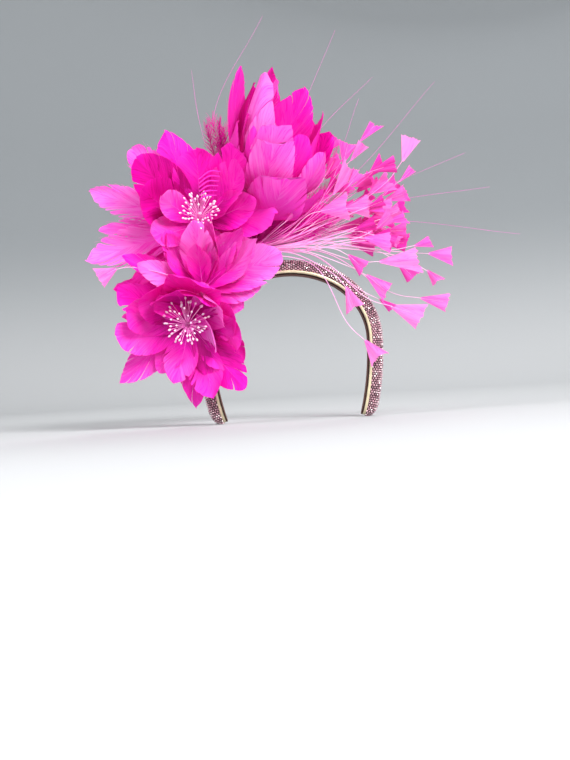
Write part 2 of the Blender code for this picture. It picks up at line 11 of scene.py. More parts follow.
import bpy
import numpy as np
from bpy.props import FloatProperty, FloatVectorProperty, IntProperty, PointerProperty
from mathutils import Matrix, Vector


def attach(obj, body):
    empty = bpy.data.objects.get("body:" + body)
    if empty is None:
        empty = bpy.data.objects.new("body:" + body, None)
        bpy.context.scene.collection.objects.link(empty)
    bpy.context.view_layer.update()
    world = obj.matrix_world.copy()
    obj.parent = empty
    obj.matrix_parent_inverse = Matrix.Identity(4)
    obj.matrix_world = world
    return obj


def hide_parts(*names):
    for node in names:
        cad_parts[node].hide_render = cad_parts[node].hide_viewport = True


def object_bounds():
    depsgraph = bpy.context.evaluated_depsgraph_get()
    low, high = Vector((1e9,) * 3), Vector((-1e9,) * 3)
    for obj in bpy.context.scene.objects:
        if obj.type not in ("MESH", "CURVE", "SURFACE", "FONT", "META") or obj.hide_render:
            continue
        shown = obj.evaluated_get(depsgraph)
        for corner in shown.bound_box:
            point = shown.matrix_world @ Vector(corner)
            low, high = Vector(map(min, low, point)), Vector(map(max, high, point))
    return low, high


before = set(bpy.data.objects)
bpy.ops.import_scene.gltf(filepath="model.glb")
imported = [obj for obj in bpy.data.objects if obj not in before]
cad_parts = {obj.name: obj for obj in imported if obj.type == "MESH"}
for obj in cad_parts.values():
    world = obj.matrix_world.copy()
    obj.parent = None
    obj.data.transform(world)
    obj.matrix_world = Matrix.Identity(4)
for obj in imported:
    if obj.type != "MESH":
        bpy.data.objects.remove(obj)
CAD_BOX = [list(corner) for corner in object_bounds()]

bl_info = {
    "name": "Rhinestone fascinator",
    "version": (1, 0, 0),
    "blender": (4, 5, 0),
    "location": "View3D > Sidebar > Fascinator",
    "description": "Makes a feather fascinator on a padded rhinestone headband",
    "category": "Add Mesh",
}

MM = 0.001
GOLDEN_ANGLE = math.radians(137.5)
BODY = "root"


def linear(code, alpha=1.0):
    """A linear colour from an sRGB hex code."""
    shares = [int(code[i : i + 2], 16) / 255 for i in (1, 3, 5)]
    return tuple(
        s / 12.92 if s <= 0.04045 else ((s + 0.055) / 1.055) ** 2.4 for s in shares
    ) + (alpha,)


# ---------------------------------------------------------------------------
# The feather work's tables. Angles are in degrees and sizes in millimetres.
# ---------------------------------------------------------------------------

# The azimuth runs round the flower's axis from the wearer's left, the opening is the angle from the
# axis, belly and curl are the outward bow of the middle and of the tip as shares of the length, cup
# is how far the edges rise towards the axis, roll turns the vane about its quill and skew moves the
# tip sideways. Tone is the dye with painted light in it: petals that sit in shadow are given a
# deeper tone as painted shade, and lit ones a paler tone. 0 is the deepest and 1 the palest.
Petal = namedtuple(
    "Petal", "azimuth opening length width belly curl cup roll skew ring point tone"
)
Bloom = namedtuple("Bloom", "heart axis petals seat_angle seat_turn")

LOW_FLOWER = Bloom(
    (-97.3, -42, -45.7),
    (-0.18, -0.95, -0.20),
    (
        Petal(186, 76, 71, 48, 0.06, -0.04, 0.20, 8, 0.0, 1, 0.0, 0.62),
        Petal(164, 74, 60, 42, 0.10, -0.08, 0.25, 0, 0.0, 0, 0.0, 0.50),
        Petal(214, 82, 91, 34, 0.02, 0.02, 0.20, -10, 0.3, 2, 0.9, 0.66),
        Petal(234, 80, 55, 30, 0.05, -0.02, 0.30, 10, 0.0, 1, 0.4, 0.56),
        Petal(255, 74, 57, 34, 0.08, -0.02, 0.30, 0, 0.0, 0, 0.4, 0.66),
        Petal(271, 84, 81, 30, 0.04, -0.02, 0.30, -8, 0.0, 2, 0.8, 0.50),
        Petal(288, 76, 74, 38, 0.06, -0.04, 0.25, 5, 0.0, 1, 0.4, 0.52),
        Petal(309, 78, 81, 46, 0.05, 0.00, 0.20, 8, 0.1, 0, 0.7, 0.34),
        Petal(325, 80, 62, 46, 0.08, 0.02, 0.25, -8, 0.0, 1, 0.3, 0.46),
        Petal(343, 76, 56, 44, 0.10, -0.06, 0.25, 6, 0.0, 0, 0.2, 0.50),
        Petal(6, 70, 52, 42, 0.14, -0.08, 0.25, 0, 0.0, 1, 0.2, 0.48),
        Petal(31, 58, 50, 42, 0.16, -0.10, 0.30, 0, 0.0, 0, 0.1, 0.85),
        Petal(63, 47, 50, 46, 0.20, -0.12, 0.25, 0, 0.0, 1, 0.0, 0.40),
        Petal(100, 44, 54, 54, 0.20, -0.12, 0.22, 0, 0.0, 0, 0.0, 0.34),
        Petal(135, 58, 57, 46, 0.16, -0.10, 0.25, 0, 0.0, 1, 0.0, 0.44),
        Petal(151, 80, 76, 36, 0.02, -0.04, 0.20, 0, 0.0, 1, 0.1, 0.36),
        Petal(-8, 46, 36, 32, 0.20, -0.05, 0.30, 20, -0.9, 0, 0.3, 0.96),
        Petal(72, 52, 66, 56, 0.17, -0.07, 0.22, 0, 0.1, 0, 0.1, 0.46),
    ),
    -72,
    35,
)

MIDDLE_FLOWER = Bloom(
    (-81.8, -45, 52.1),
    (-0.11, -0.98, 0.13),
    (
        Petal(107, 84, 96, 44, 0.02, -0.02, 0.20, 0, 0.0, 1, 0.6, 0.38),
        Petal(87, 74, 70, 50, 0.10, -0.06, 0.25, 0, 0.0, 0, 0.2, 0.40),
        Petal(128, 90, 104, 42, 0.02, -0.02, 0.15, 0, 0.0, 2, 0.1, 0.78),
        Petal(150, 54, 68, 50, 0.20, -0.12, 0.30, 0, 0.0, 1, 0.2, 0.16),
        Petal(144, 40, 48, 28, 0.20, 0.02, 0.20, 0, 0.0, 0, 0.2, 0.74),
        Petal(196, 58, 50, 34, 0.18, -0.06, 0.25, 0, 0.0, 0, 0.4, 0.70),
        Petal(52, 64, 80, 36, 0.06, -0.02, 0.45, 12, 0.1, 1, -0.6, 0.40),
        Petal(10, 64, 66, 38, 0.08, -0.02, 0.35, 8, 0.0, 0, 0.8, 0.50),
        Petal(-1, 74, 78, 38, 0.04, -0.02, 0.25, 10, 0.0, 1, 0.2, 0.52),
        Petal(-55, 88, 36, 22, 0.12, 0.04, 0.40, 0, 0.0, 0, 0.3, 0.86),
        Petal(217, 90, 88, 26, 0.02, 0.00, 0.20, 0, 0.0, 2, 0.6, 0.40),
        Petal(255, 96, 46, 30, 0.04, -0.02, 0.25, 0, 0.0, 2, 0.6, 0.60),
        Petal(283, 99, 44, 30, 0.04, -0.02, 0.25, 0, 0.0, 2, 0.6, 0.56),
        Petal(158, 92, 118, 34, 0.02, 0.00, 0.15, -12, 0.0, 2, 0.3, 0.88),
        Petal(150, 96, 106, 18, 0.02, 0.02, 0.30, 20, 0.0, 2, 0.8, 0.80),
        Petal(176, 94, 104, 22, 0.02, 0.02, 0.10, 0, 0.0, 2, 0.4, 0.76),
        Petal(192, 90, 116, 42, 0.02, 0.00, 0.15, 8, 0.0, 2, 0.4, 0.90),
        Petal(131, 66, 86, 48, 0.12, -0.08, 0.30, 0, 0.0, 1, 0.1, 0.20),
        Petal(38, 58, 70, 42, 0.10, -0.03, 0.55, -14, 0.1, 0, -0.5, 0.48),
    ),
    -38,
    15,
)

TOP_FLOWER = Bloom(
    (-17.2, -9, 67.4),
    (0.32, -0.3, 0.89),
    (
        Petal(184, 22, 145, 34, 0.15, 0.00, 0.30, -48, 0.0, 1, 0.7, 0.56),
        Petal(208, 16.5, 139, 54, 0.12, -0.02, 0.30, 0, 0.1, 0, 0.7, 0.88),
        Petal(118, 23, 145, 40, 0.08, 0.00, 0.30, 0, 0.0, 0, 0.7, 0.10),
        Petal(160, 10, 131, 28, 0.10, -0.02, 0.30, 0, 0.0, 0, 0.7, 0.76),
        Petal(235, 23, 120, 38, 0.13, -0.04, 0.35, 0, 0.2, 0, 0.7, 0.92),
        Petal(90, 6, 131, 46, 0.08, 0.00, 0.15, 0, -0.25, 1, 0.3, 0.42),
        Petal(256, 27, 104, 42, 0.14, -0.06, 0.20, 0, 0.1, 0, -0.7, 0.76),
        Petal(261, 34, 99, 46, 0.16, -0.06, 0.20, 0, 0.0, 1, -0.8, 0.76),
        Petal(275, 46, 87, 56, 0.20, -0.05, 0.20, 0, 0.0, 2, -0.8, 0.68),
        Petal(20, 14, 113, 38, 0.12, 0.00, 0.30, -16, 0.0, 0, 0.6, 0.44),
        Petal(16, 21, 108, 46, 0.12, 0.02, 0.25, 20, 0.0, 2, 0.6, 0.28),
        Petal(320, 30, 94, 40, 0.14, 0.00, 0.25, 0, 0.0, 1, 0.6, 0.74),
        Petal(326, 46, 74, 32, 0.16, 0.00, 0.25, 0, 0.0, 2, 0.6, 0.56),
        Petal(205, 33, 100, 40, 0.14, -0.04, 0.30, 0, 0.0, 1, 0.5, 0.54),
        Petal(225, 38, 80, 38, 0.16, -0.04, 0.30, 0, 0.0, 2, 0.5, 0.46),
        Petal(95, 20, 122, 48, 0.12, 0.02, 0.20, 0, 0.0, 1, 0.5, 0.44),
        Petal(142, 22, 124, 42, 0.12, 0.02, 0.25, 0, 0.0, 2, 0.6, 0.50),
        Petal(60, 32, 104, 46, 0.12, 0.04, 0.20, 0, 0.0, 2, 0.5, 0.40),
        Petal(170, 18, 131, 36, 0.13, 0.00, 0.25, -40, 0.0, 2, 0.5, 0.06),
        Petal(111, 29, 153, 30, 0.04, 0.00, 0.30, 0, 0.0, 0, 0.8, 0.16),
        Petal(107, 26, 137, 15, 0.05, 0.00, 0.30, 0, 0.0, 1, 0.8, 0.66),
        Petal(61, 22, 111, 44, 0.10, 0.00, 0.20, 0, 0.0, 1, 0.4, 0.46),
        Petal(67, 14, 101, 42, 0.10, 0.00, 0.20, 0, 0.0, 0, 0.4, 0.54),
        Petal(206, 26, 103, 26, 0.12, -0.02, 0.35, -20, 0.2, 0, 0.7, 0.56),
        Petal(236, 32, 103, 24, 0.12, -0.02, 0.35, 20, -0.2, 1, 0.7, 0.50),
        Petal(292, 24, 100, 40, 0.10, -0.02, 0.25, 0, 0.0, 1, 0.3, 0.42),
    ),
    -10,
    0,
)

LEAF_FAN = Bloom(
    (-82.4, -44, -11.7),
    (-0.09, -0.99, 0.11),
    (
        Petal(18, 78, 84, 46, 0.0, 0.0, 0.12, -10, 0.0, 0, 0.4, 0.86),
        Petal(36, 66, 70, 38, 0.04, 0.0, 0.20, 8, 0.0, 0, 0.5, 0.72),
        Petal(89, 54, 70, 36, 0.02, 0.0, 0.25, 0, 0.0, 1, 0.5, 0.84),
        Petal(88, 44, 50, 24, 0.08, 0.0, 0.40, 0, 0.0, 0, 0.5, 0.66),
        Petal(69, 52, 50, 22, 0.08, 0.0, 0.40, 0, 0.0, 1, 0.5, 0.70),
        Petal(159, 64, 66, 26, 0.04, 0.0, 0.20, 0, -0.1, 0, 0.5, 0.88),
        Petal(154, 80, 82, 24, 0.0, 0.0, 0.20, 10, 0.0, 0, 0.6, 0.40),
        Petal(173, 96, 90, 26, 0.0, 0.0, 0.20, -10, 0.0, 2, 0.6, 0.36),
        Petal(2, 76, 60, 42, 0.02, 0.0, 0.15, -8, 0.1, 1, 0.3, 0.84),
        Petal(53, 58, 66, 30, 0.05, 0.0, 0.30, 0, 0.0, 1, 0.4, 0.62),
        Petal(118, 62, 66, 30, 0.04, 0.0, 0.25, 0, 0.0, 1, 0.4, 0.56),
        Petal(-30, 74, 45, 32, 0.04, 0.0, 0.20, 0, 0.0, 1, 0.3, 0.74),
        Petal(72, 58, 74, 27, 0.08, 0.05, 0.45, -25, 0.6, 0, 0.9, 0.70),
        Petal(124, 60, 62, 28, 0.08, 0.04, 0.45, 20, -0.5, 0, 0.9, 0.58),
        Petal(28, 58, 78, 30, 0.08, 0.02, 0.40, -10, 0.3, 0, 0.9, 0.82),
        Petal(50, 56, 76, 26, 0.08, 0.03, 0.45, 14, -0.4, 0, 0.9, 0.62),
        Petal(206, 62, 52, 30, 0.10, 0.03, 0.30, 0, 0.0, 0, 0.5, 0.42),
    ),
    -56,
    35,
)

HACKLE_FRINGE = Bloom(
    (-33.8, 24, 38.8),
    (0.18, 0.5, 0.84),
    (
        Petal(228, 30, 114, 14, 0.06, 0.04, 0.1, 0, 0.0, 0, 0.9, 0.10),
        Petal(214, 38, 108, 12, 0.06, 0.06, 0.1, 0, 0.0, 1, 0.9, 0.05),
        Petal(240, 22, 112, 12, 0.06, 0.04, 0.1, 0, 0.0, 0, 0.9, 0.20),
        Petal(-24, 37, 126, 16, 0.06, 0.04, 0.1, 0, 0.0, 0, 0.9, 0.30),
        Petal(-20, 46, 118, 16, 0.04, 0.04, 0.1, 0, 0.0, 1, 0.9, 0.40),
        Petal(-14, 55, 112, 14, 0.06, 0.04, 0.1, 0, 0.0, 0, 0.9, 0.45),
        Petal(-10, 64, 104, 16, 0.06, 0.04, 0.1, 0, 0.0, 1, 0.9, 0.55),
        Petal(-8, 74, 96, 16, 0.06, 0.04, 0.1, 0, 0.0, 0, 0.9, 0.50),
        Petal(186, 48, 92, 14, 0.06, 0.06, 0.1, 0, 0.0, 1, 0.9, 0.15),
        Petal(30, 50, 92, 16, 0.06, 0.06, 0.1, 0, 0.0, 1, 0.9, 0.35),
        Petal(223, 36, 131, 17, 0.05, 0.00, 0.1, 0, 0.0, 0, 0.9, 0.04),
        Petal(227, 34, 134, 17, 0.05, 0.00, 0.1, 20, 0.0, 0, 0.9, 0.10),
        Petal(230, 32, 130, 17, 0.05, 0.00, 0.1, -20, 0.0, 0, 0.9, 0.02),
        Petal(232, 31, 124, 17, 0.05, 0.00, 0.1, 10, 0.0, 0, 0.9, 0.06),
    ),
    -22,
    -35,
)

# Where the trimmed end of an arrow feather starts, how far its bare stem bows to the left, the
# angle above +X at which its trimmed end points, the length and breadth of that end, how far it
# is turned about the stem, and its tone.
Arrow = namedtuple("Arrow", "x y z bow heading length breadth turn tone")
SPRAY_ROOT = (-32.0, -23, 25.3)
ARROWS = (
    Arrow(122, -12, 107, -14, 67, 26, 21, 10, 1.0),
    Arrow(83, 4, 132, -21, 45, 26, 16, -20, 0.62),
    Arrow(64, 8, 112, -17, 73, 23, 22, 20, 0.66),
    Arrow(71, -14, 110, -16, 49, 22, 14, 30, 0.86),
    Arrow(46, 26, 125, -22, 51, 22, 18, 10, 0.52),
    Arrow(51, -24, 76, -9, 55, 37, 20, -10, 0.86),
    Arrow(120, 2, 89, -10, 42, 19, 10, 20, 0.7),
    Arrow(77, 10, 82, -10, 39, 23, 19, 10, 0.46),
    Arrow(89, -10, 77, -8, 29, 27, 24, 0, 0.74),
    Arrow(106, 6, 72, -7, 11, 23, 18, 20, 0.66),
    Arrow(63, -26, 60, -5, 3, 24, 24, 0, 0.84),
    Arrow(38, -36, 58, -5, 7, 29, 29, 0, 0.82),
    Arrow(85, -16, 60, -4, -9, 26, 26, 0, 0.76),
    Arrow(104, 4, 39, 1, 0, 22, 19, 20, 0.62),
    Arrow(130, -8, 22, 5, 11, 18, 13, 10, 0.74),
    Arrow(145, 2, 14, 8, -9, 25, 20, 0, 0.74),
    Arrow(93, -30, 6, 8, -1, 42, 27, 0, 0.96),
    Arrow(113, 8, 8, 8, -48, 25, 19, 20, 0.62),
    Arrow(140, -16, -5, 11, -49, 18, 15, 20, 0.8),
    Arrow(135, 6, -30, 17, -12, 29, 20, 0, 0.84),
    Arrow(102, -22, -38, 18, -22, 34, 28, 0, 0.95),
    Arrow(79, -28, -7, 10, -43, 29, 20, 10, 0.8),
    Arrow(91, -21, -31, 17, -38, 17, 12, 30, 0.6),
    Arrow(62, -34, 13, 5, -45, 22, 18, 20, 0.68),
    Arrow(58, -30, -18, 12, -73, 25, 21, 15, 0.92),
    Arrow(74, -28, -71, 26, -56, 25, 22, 10, 0.9),
    Arrow(54, -4, 43, -2, 3, 30, 22, 30, 0.62),
    Arrow(74, 10, 44, -1, -7, 30, 24, 10, 0.58),
    Arrow(68, 12, 30, 2, -17, 27, 20, 30, 0.6),
    Arrow(79, -36, 29, 2, -13, 27, 23, -20, 0.72),
    Arrow(2, -56, 47, 0, 37, 19, 12, 60, 0.66),
)

LEFT_ARROW = Arrow(-163, -60, 10, -6, 204, 20, 22, 0, 0.9)

# Soft feathers and hackles behind the spray's stems. The azimuth is the angle above +X, and an
# opening over 90 leans back.
SPRAY_FLUFF = (
    Petal(30, 97, 80, 28, 0.04, 0.0, 0.1, 0, 0.0, 1, 0.4, 0.36),
    Petal(47, 98, 72, 28, 0.04, 0.0, 0.1, 10, 0.0, 1, 0.4, 0.30),
    Petal(14, 95, 66, 22, 0.04, 0.0, 0.1, 0, 0.0, 1, 0.5, 0.42),
    Petal(63, 98, 60, 26, 0.04, 0.0, 0.1, -10, 0.0, 1, 0.4, 0.16),
    Petal(82, 96, 46, 26, 0.04, 0.0, 0.1, 0, 0.0, 1, 0.4, 0.08),
    Petal(38, 94, 60, 24, 0.06, 0.0, 0.1, 15, 0.0, 0, 0.5, 0.44),
    Petal(22, 100, 96, 24, 0.04, 0.0, 0.1, 0, 0.0, 2, 0.5, 0.40),
    Petal(100, 96, 40, 24, 0.04, 0.0, 0.1, 0, 0.0, 1, 0.4, 0.04),
)
SPRAY_HACKLES = (
    Petal(52, 92, 74, 22, 0.06, 0.0, 0.1, 0, 0.0, 0, 0.9, 0.18),
    Petal(34, 92, 88, 22, 0.06, 0.0, 0.1, 0, 0.0, 0, 0.9, 0.30),
    Petal(18, 92, 76, 18, 0.06, 0.0, 0.1, 0, 0.0, 0, 0.9, 0.34),
    Petal(70, 92, 62, 22, 0.06, 0.0, 0.1, 0, 0.0, 0, 0.9, 0.06),
    Petal(90, 92, 50, 20, 0.06, 0.0, 0.1, 0, 0.0, 0, 0.9, 0.02),
)

# Curled barbs that have sprung out beside the middle flower's stamens: the x and z of three
# points along each, at one depth.
CURLED_BARB_DEPTH = -68
CURLED_BARBS = tuple(
    ((-57 - k, 96 - 4.4 * k), (-67 - k, 97 - 4.6 * k), (-78, 90 - 3.8 * k)) for k in range(6)
)

# A fine strand's middle and free end, in millimetres.
STRAND_ROOT = (-48.5, 30, 32.1)
STRANDS = (
    ((-67, 44, 166), (-9, 34, 271)),
    ((-79, 50, 159), (-87, 60, 226)),
    ((12, 66, 151), (66, 60, 259)),
    ((38, 60, 149), (102, 56, 207)),
    ((51, 74, 115), (88, 80, 190)),
    ((68, 62, 100), (165, 46, 196)),
    ((89, 66, 86), (195, 60, 123)),
    ((98, 54, 73), (215, 40, 83)),
    ((96, 46, 55), (239, 16, 30)),
)

# The headband's arch and layers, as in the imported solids.
ARCH_HALF_WIDTH = 77.2 * MM
ARCH_CROWN_HEIGHT = 66 * MM
ARCH_LEG_FALL = 150.4 * MM
ARCH_END_ANGLE = 120.4
LAYER_GAP = 0.3 * MM
LINING_THICKNESS = 1.2 * MM
STRIP_TOP = 5.0 * MM
PADDING_TOP = 14.2 * MM
CROWN_HALF_BREADTH = 14 * MM
END_HALF_BREADTH = 12 * MM
STRIP_INSET = 0.6 * MM
LINING_INSET = 2.0 * MM
END_ROUNDING = 15 * MM
END_BREADTH_SHARE = 0.34
END_HEIGHT_SHARE = 0.22
FELT_THICKNESS = 2.5 * MM
FELT_ANGLES = (-88, -2)
FELT_HALF_BREADTH = 12.5 * MM
FELT_GAP = 0.8 * MM
SEAT_GAP = 0.7 * MM
NET_OVERLAP = 1.1 * MM

RING_STEP = 3.4 * MM
RING_START = 4.0 * MM
PETAL_ROOT_RADIUS = 3.4 * MM
LOOSE_HABIT = {"splits": 0.65, "rag": 0.05, "loose": 14}
# A stalk runs 4 mm into the calyx, whose foot is 18 mm below the flower's heart
STALK_TOP = -14 * MM
STALK_RADIUS = 2.6 * MM
# Material slots of the pieces made of feathers. Slot 0 is the vanes.
QUILL, TAPE, UNDER_FEATHER = 1, 2, 3


# ---------------------------------------------------------------------------
# Settings
# ---------------------------------------------------------------------------


def colour_setting(name, description, code):
    """A colour setting, from its sRGB hex code."""
    return FloatVectorProperty(
        name=name,
        description=description,
        subtype="COLOR",
        size=3,
        min=0,
        max=1,
        default=linear(code)[:3],
    )


def length_setting(name, description, default, least):
    """A length setting, in metres."""
    return FloatProperty(
        name=name,
        description=description,
        subtype="DISTANCE",
        unit="LENGTH",
        min=least,
        default=default,
    )


def power_setting(name, description, default):
    """A lamp's power, in watts."""
    return FloatProperty(
        name=name,
        description=description,
        subtype="POWER",
        unit="POWER",
        min=0,
        default=default,
    )


class FeatherSettings(bpy.types.PropertyGroup):
    # The deep dye also colours the painted shade at the petals' roots.
    deep: colour_setting("Deep dye", "Colour of the feathers that took the most dye", "#cc0488")
    hot: colour_setting("Hot dye", "Colour of most petals", "#fb12cc")
    fresh: colour_setting("Fresh dye", "Colour of the petals' outer halves", "#fb46d4")
    pale: colour_setting("Pale dye", "Colour of the palest vanes", "#fd90ea")
    quill: colour_setting("Quill", "Colour of the bare quills", "#ffb0e6")
    barb_spacing: length_setting(
        "Barb spacing",
        "Distance between the streaks that groups of barbs make",
        1.1 * MM,
        0.2 * MM,
    )
    thickness: length_setting(
        "Vane thickness", "Thickness of a feather's vane at its quill", 0.24 * MM, 0.05 * MM
    )
    rows: IntProperty(
        name="Rows",
        description="Rows of points across one clump of a petal's barbs",
        min=3,
        default=6,
    )
    columns: IntProperty(
        name="Columns",
        description="Points from the quill to the edge of a clump of barbs",
        min=4,
        default=10,
    )


class BandSettings(bpy.types.PropertyGroup):
    stone: colour_setting("Stone", "Colour of the foil backed stones", "#d29fac")
    mesh: colour_setting(
        "Setting mesh", "Colour of the mesh that shows between the stones", "#3f1e2a"
    )
    edge: colour_setting("Edge", "Colour of the champagne leatherette edge", "#dfd2ae")
    lining: colour_setting("Lining", "Colour of the velvet ribbon on the inner face", "#3c2019")
    stone_pitch: length_setting(
        "Stone pitch", "Distance between the centres of neighbouring stones", 2.65 * MM, 1 * MM
    )


class SpraySettings(bpy.types.PropertyGroup):
    deep: colour_setting(
        "Deep dye", "Colour of the arrow feathers that took the most dye", "#d4209e"
    )
    hot: colour_setting("Hot dye", "Colour of the deeper arrow feathers", "#f23cc0")
    fresh: colour_setting("Fresh dye", "Colour of most arrow feathers", "#f967d0")
    pale: colour_setting("Pale dye", "Colour of the palest arrow feathers", "#fd9cdf")
    quill: colour_setting("Stem", "Colour of the bare stems", "#fcc6e8")
    stem_radius: length_setting(
        "Stem radius", "Radius of an arrow feather's bare stem at its root", 0.48 * MM, 0.1 * MM
    )
    strand_radius: length_setting(
        "Strand radius", "Radius of a fine strand at its root", 0.2 * MM, 0.1 * MM
    )
    filaments: IntProperty(
        name="Filaments",
        description="Threads in each flower's burst of stamens",
        min=6,
        default=58,
    )
    pip: colour_setting("Pip", "Colour of the pearly pips", "#ffd3ee")


class StageSettings(bpy.types.PropertyGroup):
    floor: colour_setting("Floor", "Colour of the pale floor", "#b7b9bb")
    wall: colour_setting("Wall", "Colour of the studio wall", "#8f9396")
    radius: length_setting("Stage radius", "Distance from the object to the studio wall", 2.3, 1.6)
    key: power_setting("Key light", "Power of the large soft light at the front", 98)
    fill: power_setting("Fill light", "Power of the light on the other side", 38)
    rim: power_setting("Back light", "Power of the light from behind and above", 19)


# ---------------------------------------------------------------------------
# Materials
# ---------------------------------------------------------------------------


def feed(tree, target, sockets):
    """Sets a node's input sockets, or links them. A node given for a socket is linked by its first
    output."""
    for name, value in sockets.items():
        if isinstance(value, bpy.types.Node):
            value = value.outputs[0]
        if isinstance(value, bpy.types.NodeSocket):
            tree.links.new(value, target.inputs[name])
        else:
            target.inputs[name].default_value = value


def node(tree, kind, sockets=None, stops=(), **settings):
    """Adds a node with its settings, a colour ramp's stops from the lowest up among them, and sets
    or links its input sockets."""
    made = tree.nodes.new(kind)
    for name, value in settings.items():
        setattr(made, name, value)
    if stops:
        elements = made.color_ramp.elements
        for element, (place, tint) in ((elements[0], stops[0]), (elements[1], stops[-1])):
            element.position, element.color = place, (*tint[:3], 1.0)
        for place, tint in stops[1:-1]:
            elements.new(place).color = (*tint[:3], 1.0)
    feed(tree, made, sockets or {})
    return made


def new_material(name):
    """A material with a Principled shader. Returns the material, its tree and that shader."""
    made = bpy.data.materials.new(name)
    made.use_nodes = True
    return made, made.node_tree, made.node_tree.nodes["Principled BSDF"]


def shaded(tint, share):
    """The colour times a share: the darker side of a pattern, or painted shade on the stones."""
    return tuple(part * share for part in tint[:3])


def dyed_feather(settings, spacing, name="dyed_goose_feather", thin=0.43):
    """Goose feather, trimmed and dyed. Barbs lie side by side, so the vane shows fine oblique
    streaks and a silky sheen along them, and it is thin enough for light to come through."""
    made, tree, shader = new_material(name)
    barb = node(tree, "ShaderNodeAttribute", attribute_name="barb").outputs["Vector"]
    tone = node(tree, "ShaderNodeAttribute", attribute_name="tone").outputs["Fac"]
    # Real barbs are 0.3 to 0.5 mm apart, too fine for the render, so the streaks follow groups of
    # barbs. The attribute is in millimetres: along the barbs' step, across the vane, and a seed.
    # The furrows where barbs have parted are about 5 mm apart and 50 mm long.
    step = MM / spacing
    streak, furrow, patch = (
        node(
            tree,
            "ShaderNodeTexNoise",
            {
                "Vector": node(
                    tree, "ShaderNodeVectorMath", {0: barb, 1: (*steps, 1.0)}, operation="MULTIPLY"
                ),
                "Scale": 1.0,
                "Detail": detail,
                "Roughness": roughness,
            },
        )
        for steps, detail, roughness in (
            ((step, step * 0.035), 3.0, 0.6),
            ((1 / 5, 1 / 50), 2.0, 0.7),
            ((step * 0.16, step * 0.03), 2.0, 0.5),
        )
    )
    white, black = linear("#ffffff"), linear("#000000")
    furrow = node(
        tree,
        "ShaderNodeValToRGB",
        {"Fac": furrow},
        stops=((0.44, white), (0.47, black), (0.50, white)),
    )
    # The furrows are also darkened, as painted shade in the gaps between parted barbs.
    streak_push, patch_push, furrow_shade = (
        node(tree, "ShaderNodeMath", {0: source, 1: by, 2: less}, operation="MULTIPLY_ADD")
        for source, by, less in ((streak, 0.3, -0.15), (patch, 0.36, -0.18), (furrow, 0.16, -0.16))
    )
    both = node(tree, "ShaderNodeMath", {0: streak_push, 1: patch_push}, operation="ADD")
    # Dye with painted light: the tone carries the petals' painted shade and light, and the furrows
    # darken it further.
    dye_and_shade = node(tree, "ShaderNodeMath", {0: tone, 1: both}, operation="ADD")
    dye = node(
        tree, "ShaderNodeMath", {0: dye_and_shade, 1: furrow_shade}, operation="ADD", use_clamp=True
    )
    vane = node(
        tree,
        "ShaderNodeValToRGB",
        {"Fac": dye},
        stops=(
            (0.0, settings.deep),
            (0.34, settings.hot),
            (0.64, settings.fresh),
            (1.0, settings.pale),
        ),
    )
    height = node(
        tree, "ShaderNodeMath", {0: furrow, 1: 0.8, 2: streak}, operation="MULTIPLY_ADD"
    )
    relief = node(
        tree, "ShaderNodeBump", {"Strength": 0.35, "Distance": 0.25 * MM, "Height": height}
    )
    rough = node(tree, "ShaderNodeMapRange", {"Value": streak, "To Min": 0.42, "To Max": 0.62})
    feed(
        tree,
        shader,
        {
            "Base Color": vane,
            "Roughness": rough,
            "Normal": relief,
            "IOR": 1.5,
            "Specular IOR Level": 0.22,
            "Sheen Weight": 0.06,
            "Sheen Roughness": 0.4,
            "Sheen Tint": linear("#ff9be6"),
        },
    )
    through = node(tree, "ShaderNodeBsdfTranslucent", {"Color": vane, "Normal": relief})
    mix = node(tree, "ShaderNodeMixShader", {0: thin, 1: shader, 2: through})
    feed(tree, tree.nodes["Material Output"], {"Surface": mix})
    return made


def bare_quill(settings, name="stripped_feather_quill"):
    """The horny shaft of a feather with its barbs stripped: smooth, waxy and paler than the vane,
    with faint blotches where the dye took unevenly."""
    made, tree, shader = new_material(name)
    barb = node(tree, "ShaderNodeAttribute", attribute_name="barb").outputs["Vector"]
    tone = node(tree, "ShaderNodeAttribute", attribute_name="tone").outputs["Fac"]
    # Blotches about 12 mm long
    stretched = node(
        tree, "ShaderNodeVectorMath", {0: barb, 1: (1 / 12, 1 / 4, 1.0)}, operation="MULTIPLY"
    )
    blotch = node(tree, "ShaderNodeTexNoise", {"Vector": stretched, "Scale": 1.0, "Detail": 2.0})
    uneven = node(tree, "ShaderNodeMath", {0: blotch, 1: 0.5, 2: -0.25}, operation="MULTIPLY_ADD")
    dye = node(tree, "ShaderNodeMath", {0: tone, 1: uneven}, operation="ADD", use_clamp=True)
    horn = node(
        tree,
        "ShaderNodeValToRGB",
        {"Fac": dye},
        stops=((0.0, settings.deep), (0.45, settings.fresh), (1.0, settings.quill)),
    )
    rough = node(tree, "ShaderNodeMapRange", {"Value": blotch, "To Min": 0.28, "To Max": 0.45})
    feed(tree, shader, {"Base Color": horn, "Roughness": rough, "IOR": 1.54})
    return made


